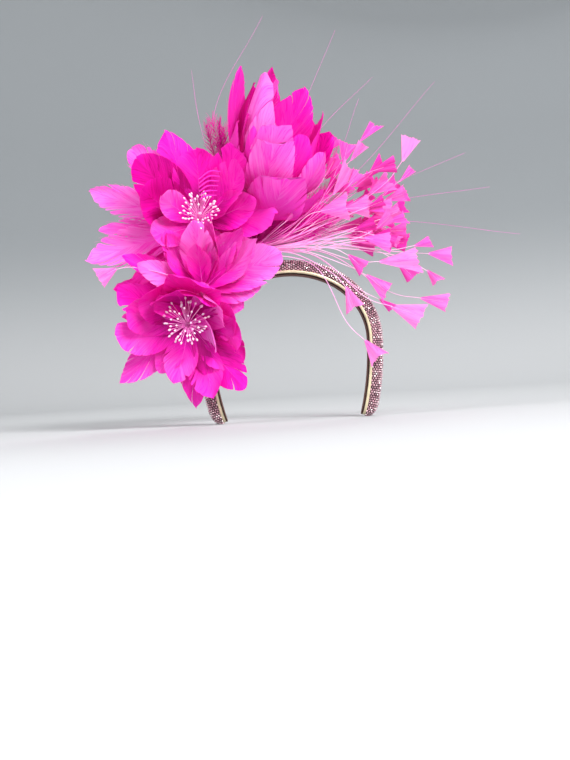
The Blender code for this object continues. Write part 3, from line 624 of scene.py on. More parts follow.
def foiled_glass(settings):
    """Cut glass stones with foil behind them. The foil sends light back through the facets, so a
    stone is bright or dark by the way each facet faces. The colour holds painted light as well: each
    stone's random tone picks between a painted shade of the stone colour and a painted near-white
    glint."""
    made, tree, shader = new_material("foil_backed_cut_glass")
    tone = node(tree, "ShaderNodeAttribute", attribute_name="tone").outputs["Fac"]
    glass = node(
        tree,
        "ShaderNodeValToRGB",
        {"Fac": tone},
        # From painted shade, through the stone colour, to a painted near-white glint
        stops=(
            (0.0, shaded(settings.stone, 0.35)),
            (0.35, shaded(settings.stone, 0.7)),
            (0.72, settings.stone),
            (1.0, linear("#fbe9ea")),
        ),
    )
    rough = node(tree, "ShaderNodeMapRange", {"Value": tone, "To Min": 0.10, "To Max": 0.18})
    feed(
        tree,
        shader,
        {
            "Base Color": glass,
            "Roughness": rough,
            "Metallic": 0.25,
            "IOR": 1.5,
            "Coat Weight": 0.8,
            "Coat Roughness": 0.04,
            "Coat IOR": 1.56,
        },
    )
    return made


def setting_mesh(settings):
    """The dark net that the stones are set in, woven of thread about 0.4 mm thick."""
    made, tree, shader = new_material("stone_setting_net")
    place = node(tree, "ShaderNodeTexCoord").outputs["Object"]
    # Threads about 0.9 mm apart
    weave = node(
        tree, "ShaderNodeTexVoronoi", {"Vector": place, "Scale": 1 / (0.9 * MM)}, feature="F1"
    )
    thread = node(
        tree,
        "ShaderNodeValToRGB",
        {"Fac": weave},
        stops=((0.0, settings.mesh), (1.0, shaded(settings.mesh, 0.35))),
    )
    relief = node(
        tree,
        "ShaderNodeBump",
        {"Strength": 0.6, "Distance": 0.2 * MM, "Height": weave},
        invert=True,
    )
    feed(tree, shader, {"Base Color": thread, "Normal": relief, "Roughness": 0.7})
    return made


def champagne_leatherette(settings):
    """Coated leatherette with a pearl finish: a fine pebbled grain under a soft gloss, with a
    little of the base colour worn through along the grain."""
    made, tree, shader = new_material("pearl_coated_leatherette")
    place = node(tree, "ShaderNodeTexCoord").outputs["Object"]
    # Grain cells about 0.8 mm across, under clouds about 9 mm across
    grain = node(
        tree,
        "ShaderNodeTexVoronoi",
        {"Vector": place, "Scale": 1 / (0.8 * MM)},
        feature="SMOOTH_F1",
    )
    cloud = node(
        tree, "ShaderNodeTexNoise", {"Vector": place, "Scale": 1 / (9 * MM), "Detail": 3.0}
    )
    coat = node(
        tree,
        "ShaderNodeValToRGB",
        {"Fac": cloud},
        stops=((0.3, shaded(settings.edge, 0.74)), (0.7, settings.edge)),
    )
    relief = node(
        tree, "ShaderNodeBump", {"Strength": 0.3, "Distance": 0.12 * MM, "Height": grain}
    )
    rough = node(tree, "ShaderNodeMapRange", {"Value": grain, "To Min": 0.26, "To Max": 0.42})
    feed(
        tree,
        shader,
        {
            "Base Color": coat,
            "Roughness": rough,
            "Normal": relief,
            "Metallic": 0.35,
            "Coat Weight": 0.3,
            "Coat Roughness": 0.2,
        },
    )
    return made


def velvet_ribbon(settings):
    """Velvet ribbon: a dense upright nap that looks darkest head on and lighter at a slant."""
    made, tree, shader = new_material("velvet_ribbon")
    place = node(tree, "ShaderNodeTexCoord").outputs["Object"]
    # Tufts of nap about 0.5 mm across, and brushed patches about 10 mm across
    nap, brushed = (
        node(
            tree, "ShaderNodeTexNoise", {"Vector": place, "Scale": 1 / (size * MM), "Detail": 2.0}
        )
        for size in (0.5, 10)
    )
    both = node(tree, "ShaderNodeMath", {0: nap, 1: 0.5, 2: brushed}, operation="MULTIPLY_ADD")
    pile = node(
        tree,
        "ShaderNodeValToRGB",
        {"Fac": both},
        stops=((0.45, shaded(settings.lining, 0.55)), (0.95, settings.lining)),
    )
    relief = node(tree, "ShaderNodeBump", {"Strength": 0.5, "Distance": 0.15 * MM, "Height": nap})
    feed(
        tree,
        shader,
        {
            "Base Color": pile,
            "Normal": relief,
            "Roughness": 0.92,
            "Sheen Weight": 0.55,
            "Sheen Roughness": 0.35,
            "Sheen Tint": linear("#a87868"),
        },
    )
    return made


def pressed_felt(settings):
    """Wool felt dyed to match: matt, with matted fibres a few tenths of a millimetre thick."""
    made, tree, shader = new_material("pressed_wool_felt")
    place = node(tree, "ShaderNodeTexCoord").outputs["Object"]
    # Tangles of fibre about 0.7 mm across
    fibre = node(
        tree,
        "ShaderNodeTexNoise",
        {"Vector": place, "Scale": 1 / (0.7 * MM), "Detail": 4.0, "Distortion": 1.5},
    )
    wool = node(
        tree,
        "ShaderNodeValToRGB",
        {"Fac": fibre},
        stops=((0.3, shaded(settings.hot, 0.5)), (0.7, shaded(settings.hot, 0.9))),
    )
    relief = node(tree, "ShaderNodeBump", {"Strength": 0.7, "Distance": 0.3 * MM, "Height": fibre})
    feed(
        tree,
        shader,
        {"Base Color": wool, "Normal": relief, "Roughness": 0.95, "Sheen Weight": 0.3},
    )
    return made


def stem_tape(settings):
    """Crepe stem tape wound round a wire: fine crosswise crinkles and a slight wax shine."""
    made, tree, shader = new_material("wound_crepe_tape")
    barb = node(tree, "ShaderNodeAttribute", attribute_name="barb").outputs["Vector"]
    # The tape's turns are 5 mm apart along the stalk
    wound = node(
        tree,
        "ShaderNodeTexWave",
        {"Vector": barb, "Scale": 1 / 5, "Distortion": 1.2},
        wave_profile="SAW",
    ).outputs["Fac"]
    crepe = node(
        tree,
        "ShaderNodeValToRGB",
        {"Fac": wound},
        stops=((0.0, shaded(settings.deep, 0.8)), (1.0, shaded(settings.hot, 0.85))),
    )
    relief = node(tree, "ShaderNodeBump", {"Strength": 0.5, "Distance": 0.3 * MM, "Height": wound})
    feed(tree, shader, {"Base Color": crepe, "Normal": relief, "Roughness": 0.6})
    return made


def pearl_pip(tint):
    """Starch pips dipped in pearl lacquer: smooth, pale and slightly shiny."""
    made, tree, shader = new_material("pearl_lacquered_pip")
    place = node(tree, "ShaderNodeTexCoord").outputs["Object"]
    # Uneven lacquer, in spots about 1 mm across
    spot = node(
        tree, "ShaderNodeTexNoise", {"Vector": place, "Scale": 1 / (1 * MM), "Detail": 2.0}
    )
    lacquer = node(
        tree, "ShaderNodeValToRGB", {"Fac": spot}, stops=((0.0, shaded(tint, 0.82)), (1.0, tint))
    )
    feed(
        tree,
        shader,
        {
            "Base Color": lacquer,
            "Roughness": 0.3,
            "Subsurface Weight": 0.2,
            "Subsurface Scale": 0.6 * MM,
            "Coat Weight": 0.4,
        },
    )
    return made


def painted_stage(floor, wall, height):
    """Matt paint over a seamless floor and wall, the floor paler than the wall."""
    made, tree, shader = new_material("matt_studio_paint")
    place = node(tree, "ShaderNodeTexCoord").outputs["Object"]
    parts = node(tree, "ShaderNodeSeparateXYZ", {0: place})
    rise = node(
        tree,
        "ShaderNodeMapRange",
        {"Value": parts.outputs["Z"], "From Min": height, "From Max": height + 0.5},
        interpolation_type="SMOOTHSTEP",
    )
    blend = node(
        tree,
        "ShaderNodeMix",
        {"Factor": rise, "A": (*floor, 1.0), "B": (*wall, 1.0)},
        data_type="RGBA",
    )
    paint = next(socket for socket in blend.outputs if socket.type == "RGBA")
    feed(tree, shader, {"Base Color": paint, "Roughness": 0.9})
    return made


# ---------------------------------------------------------------------------
# Mesh making
# ---------------------------------------------------------------------------


def closed_rings(count, around):
    """The side quads, and the triangles that close both ends, of rings of points, where the two
    middles come after the rings. They face outwards where the points turn clockwise as seen from
    the last ring."""
    number = np.arange(count * around).reshape(count, around)
    after = np.roll(number, -1, axis=1)
    quads = np.stack([number[:-1], number[1:], after[1:], after[:-1]], -1).reshape(-1, 4)
    first, last = np.full(around, count * around), np.full(around, count * around + 1)
    triangles = np.concatenate(
        [
            np.stack([first, number[0], after[0]], -1),
            np.stack([last, after[-1], number[-1]], -1),
        ]
    )
    return quads, triangles


def unit(vectors):
    """The vectors, each scaled to a length of one."""
    lengths = np.linalg.norm(vectors, axis=-1, keepdims=True)
    return vectors / np.maximum(lengths, 1e-12)


def ease(x):
    """Rises smoothly from 0 at 0 to 1 at 1."""
    x = np.clip(x, 0, 1)
    return x * x * (3 - 2 * x)


class Shape:
    """Collects the vanes, tubes and grains of one piece, with the marks that its materials read."""

    def __init__(self):
        self.points, self.quads, self.triangles = [], [], []
        self.quad_slots, self.triangle_slots, self.marks, self.tones = [], [], [], []
        self.count = 0

    def add(self, points, quads=(), triangles=(), marks=None, tones=0.5, slot=0):
        points = np.asarray(points, float).reshape(-1, 3)
        total = len(points)
        if marks is None:
            marks = points / MM
        self.points.append(points)
        self.marks.append(np.asarray(marks, float).reshape(-1, 3))
        self.tones.append(np.broadcast_to(np.asarray(tones, float).ravel(), (total,)))
        for faces, into, slots, corners in (
            (quads, self.quads, self.quad_slots, 4),
            (triangles, self.triangles, self.triangle_slots, 3),
        ):
            faces = np.asarray(faces, int).reshape(-1, corners)
            into.append(faces + self.count)
            slots.append(np.full(len(faces), slot))
        self.count += total

    def sheet(self, grid, thickness, marks, tones, slot=0):
        """A thin closed sheet over a grid of points, in rows. Thickness may vary by point."""
        rows, columns = grid.shape[:2]
        lengthways, crossways = np.gradient(grid, axis=(0, 1))
        normal = unit(np.cross(crossways, lengthways))
        half = np.broadcast_to(np.asarray(thickness, float), (rows, columns))[..., None] / 2
        points = np.concatenate([(grid + normal * half), (grid - normal * half)])
        number = np.arange(rows * columns).reshape(rows, columns)
        a, b = number[:-1, :-1], number[:-1, 1:]
        c, d = number[1:, 1:], number[1:, :-1]
        front = np.stack([a, b, c, d], -1).reshape(-1, 4)
        under = rows * columns
        faces = [front, front[:, ::-1] + under]
        for first, second in (
            (number[:-1, 0], number[1:, 0]),
            (number[1:, -1], number[:-1, -1]),
            (number[0, 1:], number[0, :-1]),
            (number[-1, :-1], number[-1, 1:]),
        ):
            faces.append(np.stack([first, second, second + under, first + under], -1))
        self.add(
            points.reshape(-1, 3),
            np.concatenate(faces),
            marks=np.concatenate([marks.reshape(-1, 3)] * 2),
            tones=np.concatenate([np.broadcast_to(tones, (rows, columns)).ravel()] * 2),
            slot=slot,
        )

    def tube(self, path, radii, sides=6, tones=0.5, seed=0.0, slot=0):
        """A round bar along a path, closed at both ends."""
        path = np.asarray(path, float)
        count = len(path)
        radii = np.broadcast_to(np.asarray(radii, float), (count,))
        ways = unit(np.gradient(path, axis=0))
        side = np.cross(ways[0], (0.31, 0.9, 0.3))
        turns = np.linspace(0, 2 * math.pi, sides, endpoint=False)
        points = []
        for i in range(count):
            side = side - ways[i] * np.dot(side, ways[i])
            side = side / np.linalg.norm(side)
            other = np.cross(ways[i], side)
            ring = np.outer(np.cos(turns), side) + np.outer(np.sin(turns), other)
            points.append(path[i] + ring * radii[i])
        quads, triangles = closed_rings(count, sides)
        steps = np.linalg.norm(np.diff(path, axis=0), axis=1)
        along = np.concatenate([[0], np.cumsum(steps)]) / MM
        marks = np.zeros((count * sides + 2, 3))
        marks[:-2, 0] = np.repeat(along, sides)
        marks[:-2, 1] = np.tile(turns, count)
        marks[-1, 0] = along[-1]
        marks[:, 2] = seed
        tones = np.broadcast_to(np.asarray(tones, float), (count,))
        point_tones = np.concatenate([np.repeat(tones, sides), [tones[0], tones[-1]]])
        self.add(
            np.concatenate(points + [path[:1], path[-1:]]),
            quads[:, [0, 3, 2, 1]],
            triangles[:, [0, 2, 1]],
            marks,
            point_tones,
            slot,
        )

    def make(self, name, materials, slot, *nodes, smooth_angle=50):
        """The finished piece, which stands for the given nodes and rides on the body."""
        mesh = bpy.data.meshes.new(name)
        quads, triangles = np.concatenate(self.quads), np.concatenate(self.triangles)
        mesh.from_pydata(
            np.concatenate(self.points).tolist(), [], quads.tolist() + triangles.tolist()
        )
        slots = np.concatenate(self.quad_slots + self.triangle_slots).astype(np.int32)
        mesh.polygons.foreach_set("material_index", slots)
        marks = np.concatenate(self.marks).astype(np.float32)
        mesh.attributes.new("barb", "FLOAT_VECTOR", "POINT").data.foreach_set(
            "vector", marks.ravel()
        )
        tones = np.concatenate(self.tones).astype(np.float32)
        mesh.attributes.new("tone", "FLOAT", "POINT").data.foreach_set("value", tones)
        for material in materials:
            mesh.materials.append(material)
        mesh.shade_smooth()
        mesh.set_sharp_from_angle(angle=math.radians(smooth_angle))
        mesh.update()
        piece = bpy.data.objects.new(name, mesh)
        bpy.context.scene.collection.objects.link(piece)
        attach(piece, BODY)
        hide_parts(*nodes)
        return piece


def smooth_path(points, count):
    """Points on one smooth curve through the given ones."""
    points = [np.asarray(p, float) for p in points]
    ends = [points[0] * 2 - points[1]] + points + [points[-1] * 2 - points[-2]]
    spans = len(points) - 1
    made = []
    for i in range(count):
        place = spans * i / (count - 1)
        n = min(int(place), spans - 1)
        t = place - n
        a, b, c, d = ends[n : n + 4]
        made.append(
            0.5
            * (
                b * 2
                + (c - a) * t
                + (a * 2 - b * 5 + c * 4 - d) * t * t
                + (b * 3 - a - c * 3 + d) * t**3
            )
        )
    return np.array(made)


def rotated(vector, axis, turn):
    """The vector turned about an axis."""
    return np.array(Matrix.Rotation(turn, 3, Vector(axis)) @ Vector(vector))


# ---------------------------------------------------------------------------
# The headband's arch
# ---------------------------------------------------------------------------


def arch_station(angle):
    """(point on the inner face, outward direction) of the band at an angle from its crown."""
    turn = math.radians(angle)
    fall = ARCH_CROWN_HEIGHT if abs(angle) <= 90 else ARCH_LEG_FALL
    point = np.array(
        [ARCH_HALF_WIDTH * math.sin(turn), 0, fall * math.cos(turn) - ARCH_CROWN_HEIGHT]
    )
    outward = np.array([fall * math.sin(turn), 0, ARCH_HALF_WIDTH * math.cos(turn)])
    return point, outward / np.linalg.norm(outward)


def rounding(angle, end_value):
    """A size's share at this station, falling in a quarter ellipse to end_value at the end."""
    point, _ = arch_station(angle)
    end, _ = arch_station(math.copysign(ARCH_END_ANGLE, angle))
    away = 1 - min(1.0, np.linalg.norm(point - end) / END_ROUNDING)
    return end_value + (1 - end_value) * math.sqrt(max(0.0, 1 - away * away))


def half_breadth(angle):
    along = min(1.0, abs(angle) / ARCH_END_ANGLE)
    plain = CROWN_HALF_BREADTH + (END_HALF_BREADTH - CROWN_HALF_BREADTH) * along
    return plain * rounding(angle, END_BREADTH_SHARE)


def at(angle, breadth, height):
    """The point of the band at a station, across its breadth and outwards from its inner face."""
    point, outward = arch_station(angle)
    return point + outward * height + np.array([0, breadth, 0])


def dome_point(angle, turn, lift=0.0):
    """A point over the padding's rounded back. Turn runs from 0 at the front edge to pi at the
    rear."""
    # The net is drawn down over the edge of the strip and padded out by as much
    foot = STRIP_TOP + LAYER_GAP - NET_OVERLAP
    rise = (PADDING_TOP + NET_OVERLAP - foot) * rounding(angle, END_HEIGHT_SHARE)
    reach = half_breadth(angle) + lift
    return at(
        angle,
        -reach * math.cos(turn),
        foot + (rise + lift) * max(0.0, math.sin(turn)) ** 0.8,
    )


def band_angles(count):
    """Stations along the arch, closer together at the rounded ends."""
    across = np.linspace(-1, 1, count)
    return ARCH_END_ANGLE * (0.72 * across + 0.28 * np.sin(across * math.pi / 2))


def loft(shape, sections):
    """A closed solid through sections with the same number of points."""
    sections = np.asarray(sections, float)
    count, around = sections.shape[:2]
    middles = np.stack([sections[0].mean(0), sections[-1].mean(0)])
    points = np.concatenate([sections.reshape(-1, 3), middles])
    shape.add(points, *closed_rings(count, around))


def felt_seat(angle, front_turn):
    """A point just above the felt base, and the direction straight out of it."""
    lift = FELT_GAP + FELT_THICKNESS + SEAT_GAP
    foot = STRIP_TOP + LAYER_GAP
    turn = math.pi / 2 - math.radians(front_turn)
    rise = PADDING_TOP - foot + lift
    reach = half_breadth(angle) + lift
    point = at(angle, -reach * math.cos(turn), foot + rise * math.sin(turn) ** 0.8)
    _, outward = arch_station(angle)
    way = outward * math.sin(turn) + np.array([0, -math.cos(turn), 0])
    return point, way / np.linalg.norm(way)


# ---------------------------------------------------------------------------
# Feathers
# ---------------------------------------------------------------------------


def axis_frame(axis):
    """The flower's axis and two directions square to it, the first towards the wearer's left."""
    along = unit(np.asarray(axis, float))
    left = unit(np.array([1.0, 0, 0]) - along * along[0])
    return along, left, np.cross(along, left)


def breadth_at(t, point):
    """A petal's breadth along its length as a share of its width."""
    widest, foot = 0.58, 0.15
    rising = foot + (1 - foot) * np.sin(math.pi / 2 * np.clip(t / widest, 0, 1))
    x = np.clip((t - widest) / (1 - widest), 0, 1)
    falling = (1 - x ** (2 - 0.5 * point)) ** (0.5 + 0.45 * point)
    return np.where(t < widest, rising, falling)


def petal_surface(heart, axis, petal):
    """The petal's smooth surface: a function of t, from root to tip, and u, from edge to edge."""
    along, left, up = axis_frame(axis)
    turn, opening, roll = (math.radians(a) for a in (petal.azimuth, petal.opening, petal.roll))
    radial = left * math.cos(turn) + up * math.sin(turn)
    chord = along * math.cos(opening) + radial * math.sin(opening)
    side = rotated(np.cross(along, radial), chord, roll)
    back = np.cross(side, chord)
    length, half = petal.length * MM, petal.width * MM / 2
    root = (
        np.asarray(heart) * MM
        + radial * PETAL_ROOT_RADIUS
        - along * (RING_START + RING_STEP * petal.ring)
    )

    def surface(t, u, lift=0.0):
        bow = petal.belly * 4 * t * (1 - t) + petal.curl * t**3
        breadth = np.maximum(half * breadth_at(t, petal.point), 0.35 * MM)
        sideways = u * breadth + petal.skew * half * ease((t - 0.4) / 0.6)
        outward = length * bow - petal.cup * breadth * u * u + lift
        return (
            root
            + (length * t)[..., None] * chord
            + outward[..., None] * back
            + sideways[..., None] * side
        )

    return surface


def barb_place(end, out, point):
    """How far up the feather, and how far across it as a share of its breadth there, a barb is
    when it is out of the way to the vane's edge, which it reaches at end. The barbs leave the
    quill at a slant, close together near the root, and the last ones run out to the tip."""
    start = 0.78 * end**2.4
    t = start + (end - start) * out
    return t, np.minimum(1, breadth_at(end, point) * out**0.85 / breadth_at(t, point))


def add_petal(
    shape, heart, axis, petal, settings, rng, splits=0.14, rag=0.02, loose=5, quill=0.8, slot=0
):
    """One feather: its quill, and on both sides of it the vane in clumps of barbs that have parted
    a little towards the edge."""
    trim = 1.0
    if petal.point < 0:
        # Scissors have cut the tip straight across
        trim = 1 + 0.2 * petal.point
        petal = petal._replace(length=petal.length / trim, point=0.2)
    surface = petal_surface(heart, axis, petal)
    half = petal.width * MM / 2
    seed = rng.uniform(0, 50)
    phase, waves, twist = rng.uniform(0, 6.28), rng.uniform(0.9, 1.8), rng.uniform(-0.1, 0.1)
    lean = rng.uniform(-0.07, 0.07)

    def lift_at(t, u):
        """The vane's own waves, in lengths of its half width."""
        ripple = np.sin(2 * math.pi * waves * t + phase + 0.9 * np.sign(u)) * u * np.abs(u)
        fold = np.sin(4.2 * u + phase) * np.sin(math.pi * t) * np.abs(u)
        crease = -0.06 * np.exp(-((u / 0.16) ** 2)) * ease(t * 4) * (1 - t)
        return half * (0.17 * ripple * ease(t * 2) + 0.06 * fold + twist * u * t * t + crease)

    for side in (-1, 1):
        count = max(5, round(petal.length / 8.5)) + int(rng.integers(0, 3))
        bounds = np.linspace(0.06, 1, count + 1)
        bounds[1:-1] += rng.uniform(-0.3, 0.3, count - 1) / count
        parted = (rng.random(count + 1) < splits) & (bounds < 0.9)
        depth = np.where(parted, rng.uniform(0.2, 0.45 + 0.65 * splits, count + 1), 0.05)
        width = np.where(parted, rng.uniform(0.08, 0.28, count + 1), 0.01)
        depth[0] = width[0] = depth[-1] = width[-1] = 0.01
        for j in range(count):
            row, out = np.meshgrid(
                np.linspace(0, 1, settings.rows),
                np.linspace(0, 1, settings.columns) ** 0.85,
                indexing="ij",
            )
            ends = np.abs(np.linspace(-1, 1, settings.rows)) ** 3
            tips = 1 - rag * (rng.random() + 0.5 * rng.random(settings.rows) + ends)
            low = width[j] * ease((out - 1 + depth[j]) / depth[j])
            high = width[j + 1] * ease((out - 1 + depth[j + 1]) / depth[j + 1])
            place = low + row * (1 - low - high)
            end = bounds[j] + place * (bounds[j + 1] - bounds[j])
            reach = out * (1 + (tips[:, None] - 1) * out)
            sway = rng.normal(0, 0.006) * reach**2
            t, across = barb_place(end, reach, petal.point)
            u = side * across
            t = np.clip(t + sway + lean * u * t**3, 0, 1)
            t = np.minimum(t, trim + 0.03 * u + 0.008 * np.sin(9 * u + seed))
            raised = rng.normal(0, 0.16) * MM * reach**2
            shingle = rng.uniform(0.05, 0.2) * MM * (row - 0.5) * reach
            grid = surface(t, u, lift_at(t, u) + raised + shingle)
            marks = np.stack([end * petal.length, t * petal.length, 0 * t + seed + side], -1)
            # Painted shade: the vane is made much darker towards its root, deep in the flower, and a
            # little darker along the edges of each clump of barbs. It is also a little paler towards
            # the tip and towards the vane's edges.
            tones = petal.tone + 0.12 * (t - 0.7) - 0.95 * np.maximum(0, 0.62 - t)
            tones = tones + rng.normal(0, 0.02) * reach + 0.06 * u * u
            tones = np.maximum(tones, 0.3 * petal.tone) - 0.02 * np.abs(2 * row - 1) ** 6 * reach
            thickness = settings.thickness * (1 - 0.6 * reach)
            if side > 0:
                grid, marks, tones = grid[::-1], marks[::-1], tones[::-1]
            shape.sheet(grid, thickness, marks, tones, slot)
        for _ in range(loose):
            end = rng.uniform(0.35, 0.92)
            out = np.linspace(0.5, 1 + rng.uniform(0.02, 0.12), 5)
            t, across = barb_place(end, out, petal.point)
            t = np.clip(t + rng.normal(0, 0.02) * (out - 0.5), 0, 1)
            u = side * np.where(out > 1, out, across)
            stray = rng.normal(0, 1.6) * MM * (out - 0.5) ** 2 * 4
            path = surface(t, u, lift_at(t, u) + stray)
            shape.tube(path, (0.13 - 0.09 * (out - 0.5)) * MM, 3, petal.tone + 0.1, seed, slot)
    stations = np.linspace(0, 0.82, 16)
    zero = np.zeros_like(stations)
    path = surface(stations, zero, lift_at(stations, zero))
    radii = (0.45 - 0.38 * stations) * MM * quill
    shape.tube(path, radii, 6, np.clip(petal.tone - 0.06 + 0 * stations, 0, 0.5), seed, QUILL)


def add_hackle(shape, surface, petal, rng, slot=0):
    """A quill with loose, springy barbs on both sides, longest half way up."""
    stations = np.linspace(0, 1, 22)
    shape.tube(surface(stations, 0 * stations), (0.5 - 0.38 * stations) * MM, 6, 0.2, slot=QUILL)
    half = petal.width * MM / 2
    share = np.linspace(0, 1, 6)
    for side in (-1, 1):
        for start in np.linspace(0.22, 0.985, 76):
            start = float(start + rng.uniform(-0.006, 0.006))
            reach = 1.5 * math.sin(math.pi * (0.18 + 0.72 * start)) + rng.uniform(-0.2, 0.2)
            ahead = 0.17 * (1 - start * 0.6) + rng.uniform(-0.02, 0.03)
            t = np.minimum(start + ahead * share**1.1, 1.15)
            u = reach * share ** (1.1 + 0.2 * rng.uniform())
            lift = rng.normal(0, 1.5) * MM * share**2
            base = surface(np.full(6, start), np.zeros(6))
            tip = surface(np.minimum(t, 1.0), np.zeros(6))
            sideways = unit(surface(np.full(6, start), np.full(6, side * 1.0)) - base)
            overshoot = np.maximum(t - 1, 0)[:, None] * petal.length * MM
            chord = unit(tip[-1:] - base[:1])
            path = tip + sideways * half * np.abs(u)[:, None] + chord * overshoot
            path = path + np.cross(sideways, chord) * lift[:, None]
            radii = (0.33 - 0.2 * share) * MM
            tones = petal.tone + 0.3 * share - 0.05
            shape.tube(path, radii, 3, tones, seed=start * 9, slot=slot)


def add_stalk(shape, bloom_foot, seat):
    """The wound stalk from the felt base up to a flower's foot."""
    point, outward = seat
    rise = np.linalg.norm(bloom_foot - point)
    path = smooth_path([point, point + outward * rise * 0.35, bloom_foot], 26)
    along = np.linspace(0, 1, 26)
    # The tape's turns are 5 mm apart
    radii = STALK_RADIUS * (1 + 0.05 * np.sin(along * rise / MM * 2 * math.pi / 5))
    radii[0] *= 1.25
    shape.tube(path, radii, 14, 0.3, slot=TAPE)


def add_calyx(shape, heart, axis):
    """The wound cup that the petals' quills are bound into."""
    along = unit(np.asarray(axis, float))
    heights = np.array([-18, -17.4, -14, -10, -6, -3, -1.6, -1.2]) * MM
    radii = np.array([2.4, 3.2, 4.1, 5.1, 6.2, 7.1, 7.4, 6.6]) * MM
    path = np.asarray(heart) * MM + heights[:, None] * along
    shape.tube(path, radii, 24, 0.25, slot=TAPE)


def bind(shape, bloom):
    """The calyx and the stalk that hold a bunch of feathers."""
    along = unit(np.asarray(bloom.axis, float))
    foot = np.asarray(bloom.heart) * MM + along * STALK_TOP
    add_calyx(shape, bloom.heart, bloom.axis)
    add_stalk(shape, foot, felt_seat(bloom.seat_angle, bloom.seat_turn))


def make_bloom(bloom, settings, seed, **habit):
    """A flower of petals round its axis, with its calyx and stalk."""
    rng = np.random.default_rng(seed)
    shape = Shape()
    for petal in bloom.petals:
        loose_leaf = petal.ring == 2 and petal.length > 100 and petal.opening > 85
        way = LOOSE_HABIT if loose_leaf else habit
        add_petal(shape, bloom.heart, bloom.axis, petal, settings, rng, **way)
    bind(shape, bloom)
    return shape


def feather_materials(context):
    """The three finishes of a bound feather bunch, made once."""
    names = ("dyed_goose_feather", "stripped_feather_quill", "wound_crepe_tape")
    if not all(n in bpy.data.materials for n in names):
        settings = context.scene.fascinator_feather
        dyed_feather(settings, settings.barb_spacing)
        bare_quill(settings)
        stem_tape(settings)
    return [bpy.data.materials[n] for n in names]


# ---------------------------------------------------------------------------
# Operators
# ---------------------------------------------------------------------------


class FASCINATOR_OT_stage(bpy.types.Operator):
    """Make the camera, the seamless floor and wall, and the studio lights"""

    bl_idname = "fascinator.make_stage"
    bl_label = "Stage"

    def execute(self, context):
        settings = context.scene.fascinator_stage
        floor_height = CAD_BOX[0][2] - 0.4 * MM
        self.camera(context)
        self.cove(settings, floor_height)
        self.lights(context, settings)
        return {"FINISHED"}

    def camera(self, context):
        """The camera at the photo's angle. The object leans a little in the picture, so the camera
        is rolled by as much."""
        lean = 0.0568
        data = bpy.data.cameras.new("photo_camera")
        data.sensor_width = 36
        distance, frame_height = 1.25, 0.76
        data.lens = data.sensor_width * distance / frame_height
        camera = bpy.data.objects.new("photo_camera", data)
        context.scene.collection.objects.link(camera)
        camera.matrix_world = (
            Matrix.Translation((-7.27 * MM, -distance, -104.1 * MM))
            @ Matrix.Rotation(lean, 4, "Y")
            @ Matrix.Rotation(math.pi / 2, 4, "X")
        )
        context.scene.camera = camera

    def cove(self, settings, floor_height):
        """A round floor that curves up into a wall all round, so that every side has a backdrop."""
        cove_radius, wall_height, sides, steps = 0.7, 3.2, 96, 12
        flat = settings.radius - cove_radius
        profile = [(0.0, 0.0), (flat, 0.0)]
        for i in range(1, steps + 1):
            turn = math.pi / 2 * i / steps
            profile.append(
                (flat + cove_radius * math.sin(turn), cove_radius * (1 - math.cos(turn)))
            )
        profile.append((settings.radius, wall_height))
        points, faces = [(0, 0, floor_height)], []
        for reach, height in profile[1:]:
            for k in range(sides):
                turn = 2 * math.pi * k / sides
                points.append(
                    (reach * math.cos(turn), reach * math.sin(turn), floor_height + height)
                )
        for k in range(sides):
            faces.append((0, 1 + k, 1 + (k + 1) % sides))
        for ring in range(len(profile) - 2):
            low, high = 1 + ring * sides, 1 + (ring + 1) * sides
            for k in range(sides):
                m = (k + 1) % sides
                faces.append((low + k, high + k, high + m, low + m))
        mesh = bpy.data.meshes.new("studio_cove")
        mesh.from_pydata(points, [], faces)
        mesh.shade_smooth()
        mesh.materials.append(painted_stage(settings.floor, settings.wall, floor_height))
        cove = bpy.data.objects.new("studio_cove", mesh)
        bpy.context.scene.collection.objects.link(cove)

    def lights(self, context, settings):
        """Large soft lights: the key at the front right, a fill at the left and one behind."""
        target = Vector((-0.01, 0, 0.03))
        for name, power, size, place in (
            ("key_light", settings.key, 1.2, (1.05, -1.8, 1.25)),
            ("fill_light", settings.fill, 1.6, (-1.7, -1.3, 0.9)),
            ("back_light", settings.rim, 1.2, (0.5, 1.7, 1.5)),
        ):
            data = bpy.data.lights.new(name, "AREA")
            data.shape = "DISK"
            data.size = size
            data.energy = power
            light = bpy.data.objects.new(name, data)
            light.location = place
            way = target - Vector(place)
            light.rotation_euler = way.to_track_quat("-Z", "Y").to_euler()
            light.visible_camera = False
            context.scene.collection.objects.link(light)
        world = bpy.data.worlds.new("studio_air")
        world.use_nodes = True
        sky = world.node_tree.nodes["Background"]
        sky.inputs["Color"].default_value = linear("#fbf8f6")
        sky.inputs["Strength"].default_value = 0.78
        context.scene.world = world
        context.scene.view_settings.view_transform = "Standard"


